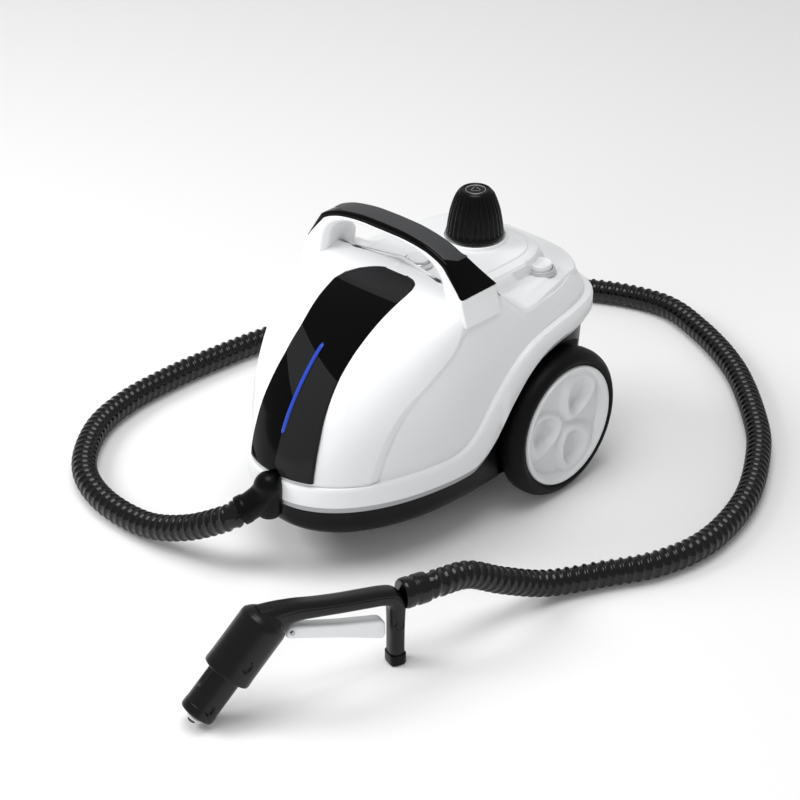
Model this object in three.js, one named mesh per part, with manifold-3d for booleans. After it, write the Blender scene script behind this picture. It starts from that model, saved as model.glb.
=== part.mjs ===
// A canister steam cleaner with its steam gun and hose, in millimetres, +Z up.
// The front of the machine, where the hose leaves it, looks along -Y; the floor is z = 0.
// The origin is on the floor, in the middle of the machine and gun taken together.

import * as THREE from 'three';
import { mergeVertices } from 'three/addons/utils/BufferGeometryUtils.js';
import Module from 'manifold-3d';

const wasm = await Module();
wasm.setup();

// ---------------------------------------------------------------- driving dimensions

const GAP = 0.3; // clearance left between pieces that touch
const MACHINE_X = -39.85; // centre line of the machine
const AXLE_Y = 220.25; // rear axle of the machine

const AXLE_Z = 79;
const TYRE_RADIUS = 79;
const RIM_RADIUS = 64;
const WHEEL_INNER = 98; // inner face of a wheel, out from the centre line
const WHEEL_OUTER = 127;
const AXLE_RADIUS = 5;
const ARCH_RADIUS = 84; // wheel pocket in the chassis
const ARCH_WALL = 94; // its flat inner wall

const BODY_MID = -110; // where the body is widest
// height, front, rear, half width, squareness of the front half of the outline there
const BODY_LEVELS = [
  [34, -268, 70, 94, 2.2],
  [48, -284, 80, 105, 2.2],
  [100, -288, 84, 108, 2.2],
  [150, -271, 86, 113, 2.4],
  [180, -254, 86, 115, 2.5],
  [205, -233, 84, 115, 2.6],
  [225, -209, 80, 114, 2.7],
  [240, -186, 74, 111, 2.7],
  [252, -158, 66, 106, 2.7],
  [260, -130, 52, 98, 2.6],
  [264, -118, 40, 88, 2.5],
];
const REAR_SQUARENESS = 4.5; // the rear half of every outline is boxier
const BODY_SEGMENTS = 32;

const CHASSIS_BOTTOM = 38;
const CHASSIS_FLOOR = 43; // upper face of its floor
const CHASSIS_INSET = -6;
const CHASSIS_CAVITY = -11;

const BAND_LOW = 70; // bumper band at the front
const BAND_HIGH = 99;
const BAND_OUT = 3;
const BAND_IN = -4;

const SHELL_WALL = 3;
const HOUSING_INSET = -3; // the rear housing sits this far inside the front shell
const DECK_LOW = 222;
const LOBE_TOP = 231;
const PLATEAU_TOP = 250;
const PLATEAU_HALF = 58;
const SHOULDER_REAR = -86;
const HOLLOW_FRONT = -118; // front edge of the hollow under the handle

const PANEL_HALF = 40; // half width of the front panel
const PANEL_LOW = 106;
const PANEL_HIGH = 262;

const HANDLE_FRONT = -140;
const HANDLE_REAR = -88;
const HANDLE_HALF = 106; // half span
const HANDLE_TOP = 316;
const HANDLE_FOOT = 265;
const STRAP_DEPTH = 27; // front to back over the middle
const COVER_THICK = 10.5;

const CAP_Y = -4;
const CAP_BASE = 254;
const CAP_RADIUS = 29.5;
const CAP_TOP = 303;
const CAP_PRESS = 2.5; // how far the cap's grip moves down
const NECK_RADIUS = 17;

const POWER_AT = [72, 13];
const MODE_AT = [0, -88];

const CASTER_Y = -222; // swivel axis
const CASTER_TRAIL = 11;
const CASTER_RADIUS = 16;

const SOCKET_AT = [0, -298]; // hose socket on the nose
const SOCKET_TOP = 107;
const HOSE_RADIUS = 13;

const BOILER_RADIUS = 66;
const BOILER_SEAM = 140;

// ---------------------------------------------------------------- finishes

function finish(color, roughness, metalness = 0) {
  return { color, roughness, metalness };
}

const WHITE = finish(0xf2f2f0, 0.3);
const GLOSS_BLACK = finish(0x0c0c0d, 0.12);
const BLACK = finish(0x17171a, 0.45);
const GREY = finish(0x3a3b3d, 0.55);
const RUBBER = finish(0x131314, 0.8);
const BLUE = finish(0x1d44c8, 0.35);
const CHROME = finish(0xd9dadc, 0.12, 1);
const STEEL = finish(0xa8aaad, 0.35, 1);
const ALUMINIUM = finish(0xb9bbbd, 0.5, 1);
const BRASS = finish(0xb5964e, 0.35, 1);
const SILICONE = finish(0xd8d8d4, 0.6);
const BOARD = finish(0x2c5a3a, 0.6);

// ---------------------------------------------------------------- solids

const root = new THREE.Group();
root.name = 'steam_cleaner';
const machine = new THREE.Group();
machine.position.set(MACHINE_X, AXLE_Y, 0);
root.add(machine);

// Merges shared vertices, drops triangles without area and turns the faces outwards.
function sealed(geometry) {
  const bare = geometry.clone();
  bare.deleteAttribute('normal');
  bare.deleteAttribute('uv');
  const merged = mergeVertices(bare, 1e-3);
  const corner = new THREE.Vector3();
  const spot = (i) => corner.clone().fromBufferAttribute(merged.attributes.position, i);
  const kept = [];
  let volume = 0;
  for (let i = 0; i < merged.index.count; i += 3) {
    const [a, b, c] = [0, 1, 2].map((k) => merged.index.getX(i + k));
    if (a !== b && b !== c && c !== a) {
      kept.push(a, b, c);
      volume += spot(a).dot(spot(b).cross(spot(c)));
    }
  }
  merged.setIndex(volume < 0 ? kept.reverse() : kept);
  return merged;
}

function solid(geometry) {
  const closed = sealed(geometry);
  return new wasm.Manifold(new wasm.Mesh({
    numProp: 3,
    vertProperties: new Float32Array(closed.attributes.position.array),
    triVerts: new Uint32Array(closed.index.array),
  }));
}

function joined(first, ...others) {
  return others.reduce((whole, piece) => whole.add(piece), first);
}

function cut(first, ...tools) {
  return tools.reduce((whole, tool) => whole.subtract(tool), first);
}

function common(first, ...others) {
  return others.reduce((whole, piece) => whole.intersect(piece), first);
}

function geometryOf(shape) {
  if (shape instanceof THREE.BufferGeometry) return sealed(shape);
  const mesh = shape.getMesh();
  const geometry = new THREE.BufferGeometry();
  geometry.setAttribute('position', new THREE.BufferAttribute(new Float32Array(mesh.vertProperties), 3));
  geometry.setIndex(new THREE.BufferAttribute(new Uint32Array(mesh.triVerts), 1));
  return geometry;
}

function piece(parent, name, shape, look) {
  const geometry = geometryOf(shape);
  geometry.computeVertexNormals();
  const mesh = new THREE.Mesh(geometry, new THREE.MeshStandardMaterial(look));
  mesh.name = name;
  parent.add(mesh);
  return mesh;
}

function box(low, high) {
  const size = high.map((value, i) => value - low[i]);
  const geometry = new THREE.BoxGeometry(...size);
  return geometry.translate(...low.map((value, i) => value + size[i] / 2));
}

// A cylinder or cone from one point to another.
function rod(from, to, radius, segments = 12, endRadius = radius) {
  const start = new THREE.Vector3(...from);
  const end = new THREE.Vector3(...to);
  const along = end.clone().sub(start);
  const geometry = new THREE.CylinderGeometry(endRadius, radius, along.length(), segments);
  const turn = new THREE.Quaternion().setFromUnitVectors(new THREE.Vector3(0, 1, 0), along.normalize());
  const middle = start.add(end).multiplyScalar(0.5);
  return geometry.applyQuaternion(turn).translate(middle.x, middle.y, middle.z);
}

// A turned piece: [radius, height] points, revolved about the vertical line through x, y.
function turned(profile, segments, [x, y] = [0, 0]) {
  const points = profile.map(([radius, height]) => new THREE.Vector2(radius, height));
  const geometry = new THREE.LatheGeometry(points, segments);
  return geometry.rotateX(Math.PI / 2).translate(x, y, 0);
}

function ringProfile(inner, outer, low, high) {
  return [[inner, low], [outer, low], [outer, high], [inner, high], [inner, low]];
}

// An outline of [u, v] points, extruded; the plane says which axes u and v run along.
function slab(outline, low, high, plane, curveSegments = 8) {
  const shape = outline instanceof THREE.Shape ? outline : new THREE.Shape(
    outline.map(([u, v]) => new THREE.Vector2(u, v)),
  );
  const geometry = new THREE.ExtrudeGeometry(shape, {
    depth: high - low, bevelEnabled: false, curveSegments, steps: 1,
  });
  geometry.translate(0, 0, plane === 'xz' ? -high : low);
  if (plane === 'yz') return geometry.applyMatrix4(axes([0, 1, 0], [0, 0, 1], [1, 0, 0]));
  if (plane === 'xz') return geometry.applyMatrix4(axes([1, 0, 0], [0, 0, 1], [0, -1, 0]));
  return geometry;
}

function axes(...directions) {
  return new THREE.Matrix4().makeBasis(...directions.map((axis) => new THREE.Vector3(...axis)));
}

// ---------------------------------------------------------------- body outline

function bodyLevel(height) {
  const last = BODY_LEVELS.length - 1;
  const above = Math.max(1, BODY_LEVELS.findIndex((level) => level[0] >= height));
  const upper = height > BODY_LEVELS[last][0] ? last : above;
  const [low, high] = [BODY_LEVELS[upper - 1], BODY_LEVELS[upper]];
  const share = (height - low[0]) / (high[0] - low[0]);
  return low.map((value, i) => value + (high[i] - value) * share);
}

// The point of the body outline at a height, `out` millimetres outside it.
function outlinePoint(height, angle, out) {
  const [, front, rear, half, frontSquare] = bodyLevel(height);
  const [across, along] = [Math.cos(angle), Math.sin(angle)];
  const square = along < 0 ? frontSquare : REAR_SQUARENESS;
  const size = (Math.abs(across) ** square + Math.abs(along) ** square) ** (1 / square);
  const reach = along < 0 ? BODY_MID - front + out : rear - BODY_MID + out;
  return [((half + out) * across) / size, BODY_MID + (reach * along) / size];
}

// The body as a solid between two heights, grown by `out` on every side.
function bodyBlank(out, low = BODY_LEVELS[0][0], high = BODY_LEVELS.at(-1)[0]) {
  const inside = BODY_LEVELS.map(([height]) => height).filter((height) => height > low && height < high);
  const heights = [low, ...inside, high];
  const rows = heights.length - 1;
  const geometry = new THREE.CylinderGeometry(1, 1, rows, BODY_SEGMENTS, rows).rotateX(Math.PI / 2);
  const spot = geometry.attributes.position;
  for (let i = 0; i < spot.count; i += 1) {
    const [x, y] = [spot.getX(i), spot.getY(i)];
    const height = heights[Math.round(spot.getZ(i) + rows / 2)];
    const radius = Math.hypot(x, y);
    const [px, py] = outlinePoint(height, Math.atan2(y, x), out);
    spot.setXYZ(i, px * radius, BODY_MID + (py - BODY_MID) * radius, height + (height === high ? out : 0));
  }
  return solid(geometry);
}

// Heights of the bumper band along the side: level at the front, then up over the wheel.
const BAND_LINE = [
  [-330, BAND_LOW, BAND_HIGH],
  [-134, BAND_LOW, BAND_HIGH + 3],
  [-118, BAND_LOW + 2, 116],
  [-97, 88, 145],
  [-75, 124, 170],
  [-50, 152, 187],
  [-20, 168, 195],
  [30, 173, 199],
  [130, 173, 199],
];

function bandHeights(y) {
  const upper = Math.max(1, BAND_LINE.findIndex(([at]) => at >= y));
  const [low, high] = [BAND_LINE[upper - 1], BAND_LINE[upper]];
  const share = (y - low[0]) / (high[0] - low[0]);
  return [1, 2].map((k) => low[k] + (high[k] - low[k]) * share);
}

// Side view of everything above the band (column 2) or below it (column 1), `lift` higher.
function bandEdge(column, lift) {
  return BAND_LINE.map((row) => [row[0], row[column] + lift]);
}

// ---------------------------------------------------------------- chassis and bumper

function chassisBase() {
  const lowerEdge = [[130, 20], [-330, 20]];
  const sideView = solid(slab([...bandEdge(1, 5), ...lowerEdge], -140, 140, 'yz'));
  const outside = common(bodyBlank(CHASSIS_INSET, CHASSIS_BOTTOM, 190), sideView);
  const cavity = bodyBlank(CHASSIS_CAVITY, CHASSIS_FLOOR, 205);
  const walls = solid(box([-ARCH_WALL + 6, -330, 20], [ARCH_WALL - 6, 120, 260]));
  const arches = [-1, 1].map((side) => {
    const near = side * ARCH_WALL;
    return solid(rod([near, 0, AXLE_Z], [side * 150, 0, AXLE_Z], ARCH_RADIUS, 28));
  });
  const bores = solid(rod([-150, 0, AXLE_Z], [150, 0, AXLE_Z], AXLE_RADIUS + GAP, 16));
  const headRoom = solid(rod([6 - ARCH_WALL, 0, AXLE_Z], [ARCH_WALL - 6, 0, AXLE_Z], 11, 16));
  const casterBore = solid(rod([0, CASTER_Y, 20], [0, CASTER_Y, 60], 5 + GAP, 16));
  const casterBoss = solid(rod([0, CASTER_Y, CHASSIS_BOTTOM + 0.5], [0, CASTER_Y, 52], 11, 20));
  const seat = solid(socketBlank(GAP));
  const narrowed = common(cavity, walls);
  return cut(joined(cut(outside, narrowed), casterBoss), ...arches, bores, headRoom, casterBore, seat, glandHole());
}

// A ring that follows the body outline: profile points are [out, share of the band's height].
function bumperBand() {
  const profile = [
    [BAND_IN, 0.08], [BAND_OUT - 2, 0], [BAND_OUT, 0.14], [BAND_OUT, 0.8], [BAND_OUT - 2.5, 1],
    [BAND_IN, 1], [BAND_IN, 0.08],
  ];
  const ring = turned(profile.map(([out, share]) => [100 + out, share * 10]), 48);
  const spot = ring.attributes.position;
  for (let i = 0; i < spot.count; i += 1) {
    const [x, y] = [spot.getX(i), spot.getY(i)];
    const out = Math.hypot(x, y) - 100;
    const angle = Math.atan2(y, x);
    const [low, high] = bandHeights(outlinePoint(BAND_HIGH, angle, out)[1]);
    const [px, py] = outlinePoint((low + high) / 2, angle, out);
    spot.setXYZ(i, px, py, low + (high + 8 - low) * (spot.getZ(i) / 10));
  }
  const topTrim = solid(slab([...bandEdge(2, 0), [130, 20], [-330, 20]], -140, 140, 'yz'));
  return cut(common(solid(ring), topTrim), solid(socketBlank(GAP)));
}

// ---------------------------------------------------------------- hose socket on the nose

function socketBlank(out) {
  const [x, y] = SOCKET_AT;
  const dome = new THREE.SphereGeometry(14 + out, 14, 7);
  const upper = SOCKET_TOP - 14;
  const tower = solid(rod([x, y, 50 - out], [x, y, upper], 14 + out, 14));
  return geometryOf(joined(tower, solid(dome.translate(x, y, upper)), solid(
    box([x - 12 - out, y, 50 - out], [x + 12 + out, y + 26 + out, upper]),
  )));
}

const HOSE_START = [-17, -322, 66]; // where the hose leaves its cuff at the machine
const HOSE_WAY = new THREE.Vector3(-23, -30, -20).normalize();

function onHoseAxis(distance, from = HOSE_START) {
  return HOSE_WAY.clone().multiplyScalar(distance).add(new THREE.Vector3(...from)).toArray();
}

function hoseSocket() {
  const bore = solid(rod(onHoseAxis(-40), onHoseAxis(10), 9, 16));
  return cut(solid(socketBlank(0)), bore);
}

function hoseCuff() {
  const outer = solid(rod(onHoseAxis(-22), onHoseAxis(-2 * GAP), 14.5, 16, 13.5));
  return cut(outer, solid(socketBlank(GAP)));
}

// ---------------------------------------------------------------- upper shells

// Side view of the front shell's rear edge, from the band to the hollow under the handle.
const RIDGE = [
  [-233, 90], [-231, 108], [-226, 128], [-216, 154], [-201, 176], [-177, 197], [-150, 219],
  [-136, 238], [-128, 252], [HOLLOW_FRONT, 258], [HOLLOW_FRONT, 280],
];

function aboveBand(lift) {
  return solid(slab([...bandEdge(2, lift), [130, 300], [-330, 300]], -140, 140, 'yz'));
}

function frontOfRidge() {
  return solid(slab([[-330, 60], [-240, 60], ...RIDGE, [-330, 280]], -140, 140, 'yz'));
}

function behindRidge() {
  const line = RIDGE.map(([y, z]) => [y + 2 * GAP, z]);
  return solid(slab([[130, 60], [130, 280], ...line.reverse(), [-240, 60]], -140, 140, 'yz'));
}

// Front view of the black panel, `grow` millimetres larger all round.
function panelOutline(grow) {
  const half = PANEL_HALF + grow;
  const [low, high] = [PANEL_LOW - grow, PANEL_HIGH + grow];
  const shape = new THREE.Shape();
  shape.moveTo(-half, low);
  shape.lineTo(half, low);
  shape.lineTo(half, high - 14);
  shape.quadraticCurveTo(half, high, half - 18, high);
  shape.lineTo(-half + 18, high);
  shape.quadraticCurveTo(-half, high, -half, high - 14);
  shape.closePath();
  return shape;
}

function panelPrism(grow) {
  return solid(slab(panelOutline(grow), -320, -112, 'xz', 4));
}

function frontShell() {
  const skin = cut(bodyBlank(0, 90), bodyBlank(-SHELL_WALL, 60));
  const shell = common(skin, frontOfRidge(), aboveBand(GAP));
  const recess = cut(panelPrism(GAP), bodyBlank(-1.2, 60));
  return cut(shell, recess, solid(socketBlank(GAP)), ...handleFeet(GAP));
}

function frontPanel() {
  return common(cut(bodyBlank(1, 90), bodyBlank(-0.9, 60)), panelPrism(0), frontOfRidge());
}

// The lit strip runs up the middle of the panel.
function lightStripPrism(grow) {
  const line = [[-2, 139], [-0.5, 163], [0, 190], [0, 218]];
  const side = (way) => line.map(([x, z]) => [x + way * (2.2 + grow), z]);
  const outline = [...side(1), ...side(-1).reverse()];
  return solid(slab(outline, -320, -150, 'xz'));
}

function lightStrip() {
  return common(cut(bodyBlank(3, 90), bodyBlank(1.3, 60)), lightStripPrism(0));
}

function rearHousing() {
  const skin = cut(bodyBlank(HOUSING_INSET, 90), bodyBlank(HOUSING_INSET - SHELL_WALL, 60));
  const shell = common(skin, behindRidge(), aboveBand(GAP));
  const rearTop = solid(box([-140, SHOULDER_REAR, DECK_LOW], [140, 130, 300]));
  const hollow = solid(box([-80, -140, 238], [80, 130, 300]));
  return cut(shell, rearTop, hollow, ...handleFeet(GAP));
}

function rearDeck() {
  const blank = bodyBlank(HOUSING_INSET, 200, 262);
  const rearSlab = solid(box([-140, SHOULDER_REAR + GAP, DECK_LOW + GAP], [140, 130, LOBE_TOP]));
  const bridge = solid(box([-80 + GAP, HOLLOW_FRONT + 2 * GAP, 238 + GAP], [80 - GAP, SHOULDER_REAR + 2, 246]));
  const plateau = slab([
    [-PLATEAU_HALF, -110], [PLATEAU_HALF, -110], [PLATEAU_HALF, -10], [44, 22], [20, 34],
    [-20, 34], [-44, 22], [-PLATEAU_HALF, -10],
  ], LOBE_TOP - 4, PLATEAU_TOP, 'xy');
  const under = solid(box([-88, SHOULDER_REAR + 6, DECK_LOW - 2], [88, 66, LOBE_TOP - 4]));
  const deck = joined(common(blank, rearSlab), solid(plateau), bridge);
  const neckHole = solid(rod([0, CAP_Y, 200], [0, CAP_Y, 270], 24 + GAP, 32));
  const powerHole = solid(rod([...POWER_AT, 200], [...POWER_AT, 270], 12 + GAP, 20));
  const modeHole = solid(rod([...MODE_AT, 200], [...MODE_AT, 270], 12 + GAP, 20));
  return cut(deck, under, neckHole, powerHole, modeHole);
}

// ---------------------------------------------------------------- handle

// Front view of the handle's arch: flat over the middle and bent down at both ends.
function archShape(top, thickness) {
  const low = top - thickness;
  const drop = HANDLE_TOP - HANDLE_FOOT;
  const half = HANDLE_HALF + (top - HANDLE_TOP) * 0.4;
  const shape = new THREE.Shape();
  shape.moveTo(-half, top - drop);
  shape.quadraticCurveTo(-half * 0.82, top - 2, -half * 0.5, top - 1);
  shape.quadraticCurveTo(0, top + 1, half * 0.5, top - 1);
  shape.quadraticCurveTo(half * 0.82, top - 2, half, top - drop);
  const inner = half - thickness * 0.9;
  shape.lineTo(inner, top - drop);
  shape.quadraticCurveTo(inner * 0.8, low - 2, inner * 0.5, low - 1);
  shape.quadraticCurveTo(0, low + 1, -inner * 0.5, low - 1);
  shape.quadraticCurveTo(-inner * 0.8, low - 2, -inner, top - drop);
  shape.closePath();
  return shape;
}

// Everything behind the handle's rear edge, which sweeps back from the narrow middle to both feet.
function behindStrap(grow) {
  const middle = HANDLE_FRONT + STRAP_DEPTH + grow;
  const feet = HANDLE_REAR + grow;
  const shape = new THREE.Shape();
  shape.moveTo(-HANDLE_HALF - 10, feet);
  shape.lineTo(-HANDLE_HALF + 4, feet);
  shape.bezierCurveTo(-92, feet, -84, middle, -66, middle);
  shape.lineTo(66, middle);
  shape.bezierCurveTo(84, middle, 92, feet, HANDLE_HALF - 4, feet);
  shape.lineTo(HANDLE_HALF + 10, feet);
  shape.lineTo(HANDLE_HALF + 10, HANDLE_REAR + 20);
  shape.lineTo(-HANDLE_HALF - 10, HANDLE_REAR + 20);
  return solid(slab(shape, HANDLE_FOOT - 20, HANDLE_TOP + 10, 'xy', 6));
}

function handleFeet(grow) {
  return [-1, 1].map((side) => {
    const [near, far] = [side * 88, side * 102].sort((a, b) => a - b);
    return solid(box(
      [near - grow, HANDLE_FRONT + 6 - grow, 236 - grow],
      [far + grow, HANDLE_REAR - 6 + grow, 272],
    ));
  });
}

function handleLower() {
  const arch = solid(slab(archShape(HANDLE_TOP - 11, 8), HANDLE_FRONT, HANDLE_REAR, 'xz', 6));
  const feet = common(joined(...handleFeet(0)), bodyBlank(4, 200, 268));
  const cover = solid(slab(archShape(HANDLE_TOP, COVER_THICK + GAP), HANDLE_FRONT - 5, HANDLE_REAR + 5, 'xz', 6));
  const bodyClear = cut(bodyBlank(GAP, 200), ...handleFeet(0));
  return cut(joined(cut(arch, bodyClear), feet), cover, behindStrap(0));
}

function handleCover() {
  const arch = solid(slab(archShape(HANDLE_TOP, COVER_THICK), HANDLE_FRONT, HANDLE_REAR, 'xz', 6));
  const pocket = solid(slab(archShape(HANDLE_TOP + 1, 2.6), HANDLE_FRONT + 8, HANDLE_REAR + 4, 'xz', 6));
  const middle = solid(box([-70, -150, 280], [78, -60, 330]));
  return cut(arch, common(pocket, middle), bodyBlank(GAP, 200), behindStrap(0));
}

function handleInlay() {
  const strip = solid(slab(archShape(HANDLE_TOP + 0.2, 1.4), HANDLE_FRONT + 8.4, HANDLE_REAR - 0.4, 'xz', 6));
  const middle = solid(box([-69.5, -150, 280], [77.5, -60, 330]));
  return cut(common(strip, middle), behindStrap(-0.4));
}

// ---------------------------------------------------------------- buttons on the deck

function buttonSet(parent, name, [x, y], deck, { radius, collar, rise }, look) {
  const bezel = turned(ringProfile(radius + GAP, radius + 3.5, deck + GAP, deck + collar), 20, [x, y]);
  piece(parent, `${name}_bezel`, bezel, CHROME);
  const top = deck + rise;
  const cap = turned([
    [0, deck - 3], [radius, deck - 3], [radius, top - 1.5], [radius - 1.5, top], [0, top],
  ], 20, [x, y]);
  piece(parent, `${name}_button`, cap, look);
  const spring = helix(radius - 5, 0.8, deck - 13, deck - 3 - GAP, 3, [x, y]);
  piece(parent, `${name}_spring`, spring, STEEL);
  const switchBody = box([x - 9, y - 7, deck - 27], [x + 9, y + 7, deck - 13 - GAP - 0.8]);
  piece(parent, `${name}_switch`, switchBody, BLACK);
}

// A coil spring about a vertical line, closed at both ends.
function helix(radius, wire, low, high, turns, [x, y]) {
  const points = [];
  const steps = turns * 8;
  for (let i = 0; i <= steps; i += 1) {
    const angle = (i / steps) * turns * 2 * Math.PI;
    const height = low + wire + ((high - low - 2 * wire) * i) / steps;
    points.push(new THREE.Vector3(x + radius * Math.cos(angle), y + radius * Math.sin(angle), height));
  }
  return tubeAlong(points, wire, 4, steps);
}

function tubeAlong(points, radius, sides, steps) {
  const path = new THREE.CatmullRomCurve3(points);
  const section = new THREE.Shape();
  for (let i = 0; i < sides; i += 1) {
    const angle = (i / sides) * 2 * Math.PI;
    const place = [radius * Math.cos(angle), radius * Math.sin(angle)];
    if (i === 0) section.moveTo(...place);
    else section.lineTo(...place);
  }
  section.closePath();
  return new THREE.ExtrudeGeometry(section, { steps, bevelEnabled: false, extrudePath: path });
}

// ---------------------------------------------------------------- filler cap and boiler

// The ribbed cap: a star-shaped section that narrows towards a rounded top.
function capShell() {
  const ribs = 18;
  const steps = ribs * 2;
  const profile = [
    [CAP_RADIUS, 0], [CAP_RADIUS, 4], [CAP_RADIUS - 1, 5], [26.4, 22], [22, 40],
    [17, 48.2], [14.2, 49.4],
  ];
  const outline = [...profile, [14.2, 47.4], [0, 47.4]];
  const outer = turned([[0, 0], ...outline.map(([radius, height]) => [radius, height])], steps);
  const spot = outer.attributes.position;
  for (let i = 0; i < spot.count; i += 1) {
    const [x, y, height] = [spot.getX(i), spot.getY(i), spot.getZ(i)];
    const rib = Math.round((Math.atan2(y, x) / (2 * Math.PI)) * steps);
    const grooved = height > 4.5 && height < 48 && rib % 2 !== 0;
    const scale = grooved ? 1 - 1.6 / Math.max(Math.hypot(x, y), 1) : 1;
    spot.setXYZ(i, x * scale, y * scale, height);
  }
  const hollow = turned([[0, -1], [22, -1], [22, 24], [0, 24]], 24);
  return cut(solid(outer), solid(hollow)).translate([0, CAP_Y, CAP_BASE]);
}

function fillerCap(parent) {
  const at = [0, CAP_Y];
  piece(parent, 'cap_shell', capShell(), BLACK);
  const badge = turned(ringProfile(9.5, 11.5, CAP_TOP - 1.6 + GAP, CAP_TOP), 20, at);
  piece(parent, 'cap_badge', badge, CHROME);
  const plug = joined(
    solid(turned([[0, CAP_BASE - 20], [11, CAP_BASE - 20], [11, CAP_BASE + 17], [0, CAP_BASE + 17]], 20, at)),
    solid(turned(ringProfile(10, 21, CAP_BASE + 3, CAP_BASE + 8), 24, at)),
  );
  piece(parent, 'cap_plug', plug, BRASS);
  const spring = helix(15, 0.9, CAP_BASE + 8.3, CAP_BASE + 23.7, 3, at);
  piece(parent, 'cap_spring', spring, STEEL);
  const gasket = turned(ringProfile(11.3, 16, CAP_BASE - 0.4, CAP_BASE + 2.7), 24, at);
  piece(parent, 'cap_gasket', gasket, SILICONE);
}

function fillerCollar() {
  const seat = CAP_BASE - CAP_PRESS - GAP; // the grip comes down to just above this
  const rim = CAP_RADIUS + 1;
  return turned([
    [20, DECK_LOW + 8], [23.6, DECK_LOW + 8], [23.6, PLATEAU_TOP + GAP], [rim + 3, PLATEAU_TOP + GAP],
    [rim + 2, PLATEAU_TOP + 3], [rim, PLATEAU_TOP + 3], [rim, seat], [20, seat], [20, DECK_LOW + 8],
  ], 28, [0, CAP_Y]);
}

function boiler(parent) {
  const at = [0, CAP_Y];
  const radius = BOILER_RADIUS;
  const seam = BOILER_SEAM;
  const lower = turned([
    [0, 88], [radius - 26, 88], [radius - 22, 89.6], [radius - 6, 96], [radius, 112], [radius, seam - 4], [radius + 6, seam - 4],
    [radius + 6, seam], [radius - 3, seam], [radius - 3, 113], [radius - 9, 99], [radius - 28, 92], [0, 92],
  ], 20, at);
  piece(parent, 'boiler_lower', lower, ALUMINIUM);
  const upper = turned([
    [NECK_RADIUS - 5, 206], [NECK_RADIUS - 5, CAP_BASE - 1], [NECK_RADIUS, CAP_BASE - 1], [NECK_RADIUS, 212],
    [radius - 24, 205], [radius - 5, 192], [radius, 176], [radius, seam + 5], [radius + 6, seam + 5],
    [radius + 6, seam + GAP], [radius - 3, seam + GAP], [radius - 3, 175], [radius - 8, 189],
    [radius - 26, 201], [NECK_RADIUS - 5, 206],
  ].reverse(), 20, at);
  piece(parent, 'boiler_upper', upper, ALUMINIUM);
  const reach = radius - 16;
  const legs = [45, 135, 225, 315].map((degrees) => {
    const angle = THREE.MathUtils.degToRad(degrees);
    const [x, y] = [reach * Math.cos(angle), CAP_Y + reach * Math.sin(angle)];
    return solid(rod([x, y, CHASSIS_FLOOR + GAP], [x, y, 87], 4, 10));
  });
  const ring = solid(turned(ringProfile(reach - 5, reach + 6, 85.5, 89.2), 24, at));
  piece(parent, 'boiler_cradle', joined(ring, ...legs), STEEL);
}

function heatingElement() {
  const points = [];
  for (let i = 0; i <= 24; i += 1) {
    const angle = THREE.MathUtils.degToRad(110 + i * 13.3);
    points.push(new THREE.Vector3(38 * Math.cos(angle), CAP_Y + 38 * Math.sin(angle), 83.4));
  }
  return tubeAlong(points, 4, 6, 24);
}

function boilerFittings(parent) {
  const thermostat = joined(
    solid(rod([0, CAP_Y, 70], [0, CAP_Y, 88 - GAP], 9, 16)),
    solid(box([-14, CAP_Y - 4, 66], [14, CAP_Y + 4, 70.5])),
  );
  piece(parent, 'thermostat', thermostat, BLACK);
  const pressureSwitch = joined(
    solid(rod([34, -34, 206], [34, -34, 216], 6, 12)),
    solid(rod([34, -34, 214], [34, -34, 224], 11, 16)),
  );
  piece(parent, 'pressure_switch', pressureSwitch, BLACK);
  const safetyValve = joined(
    solid(rod([-34, -34, 206], [-34, -34, 214], 6, 6)),
    solid(rod([-34, -34, 213], [-34, -34, 226], 4.5, 12)),
  );
  piece(parent, 'safety_valve', safetyValve, BRASS);
}

function solenoidValve() {
  const body = solid(box([-14, -176, 62], [14, -148, 84]));
  const coil = solid(rod([0, -162, 83], [0, -162, 118], 13, 16));
  const foot = solid(box([-10, -172, CHASSIS_FLOOR + GAP], [10, -152, 63]));
  return joined(body, coil, foot);
}

function steamPipes(parent) {
  const inlet = [[-30, CAP_Y - 78, 160], [-34, -100, 158], [-36, -130, 130], [-34, -155, 90], [-24, -162, 73], [-14.4, -162, 73]];
  const outlet = [[0, -176.4, 73], [0, -210, 74], [0, -245, 80], [0, -260, 80], [0, -271.6, 80]];
  const asPoints = (list) => list.map((place) => new THREE.Vector3(...place));
  piece(parent, 'steam_pipe_boiler', tubeAlong(asPoints(inlet), 3.5, 6, 16), BRASS);
  piece(parent, 'steam_pipe_outlet', tubeAlong(asPoints(outlet), 3.5, 6, 8), SILICONE);
}

// ---------------------------------------------------------------- wheels

// A turned piece about the wheel axis: [radius, distance from the centre line].
function wheelTurned(profile, segments, side) {
  const geometry = turned(profile, segments).rotateY(Math.PI / 2).translate(0, 0, AXLE_Z);
  return geometry.scale(side, 1, 1);
}

function tyre(side) {
  const low = RIM_RADIUS + GAP;
  return wheelTurned([
    [low, WHEEL_INNER], [TYRE_RADIUS - 3, WHEEL_INNER + 1], [TYRE_RADIUS, WHEEL_INNER + 7],
    [TYRE_RADIUS, WHEEL_OUTER - 12], [TYRE_RADIUS - 3, WHEEL_OUTER - 4], [TYRE_RADIUS - 9, WHEEL_OUTER - 0.5],
    [low, WHEEL_OUTER - 1], [low, WHEEL_INNER],
  ].reverse(), 40, side);
}

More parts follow.
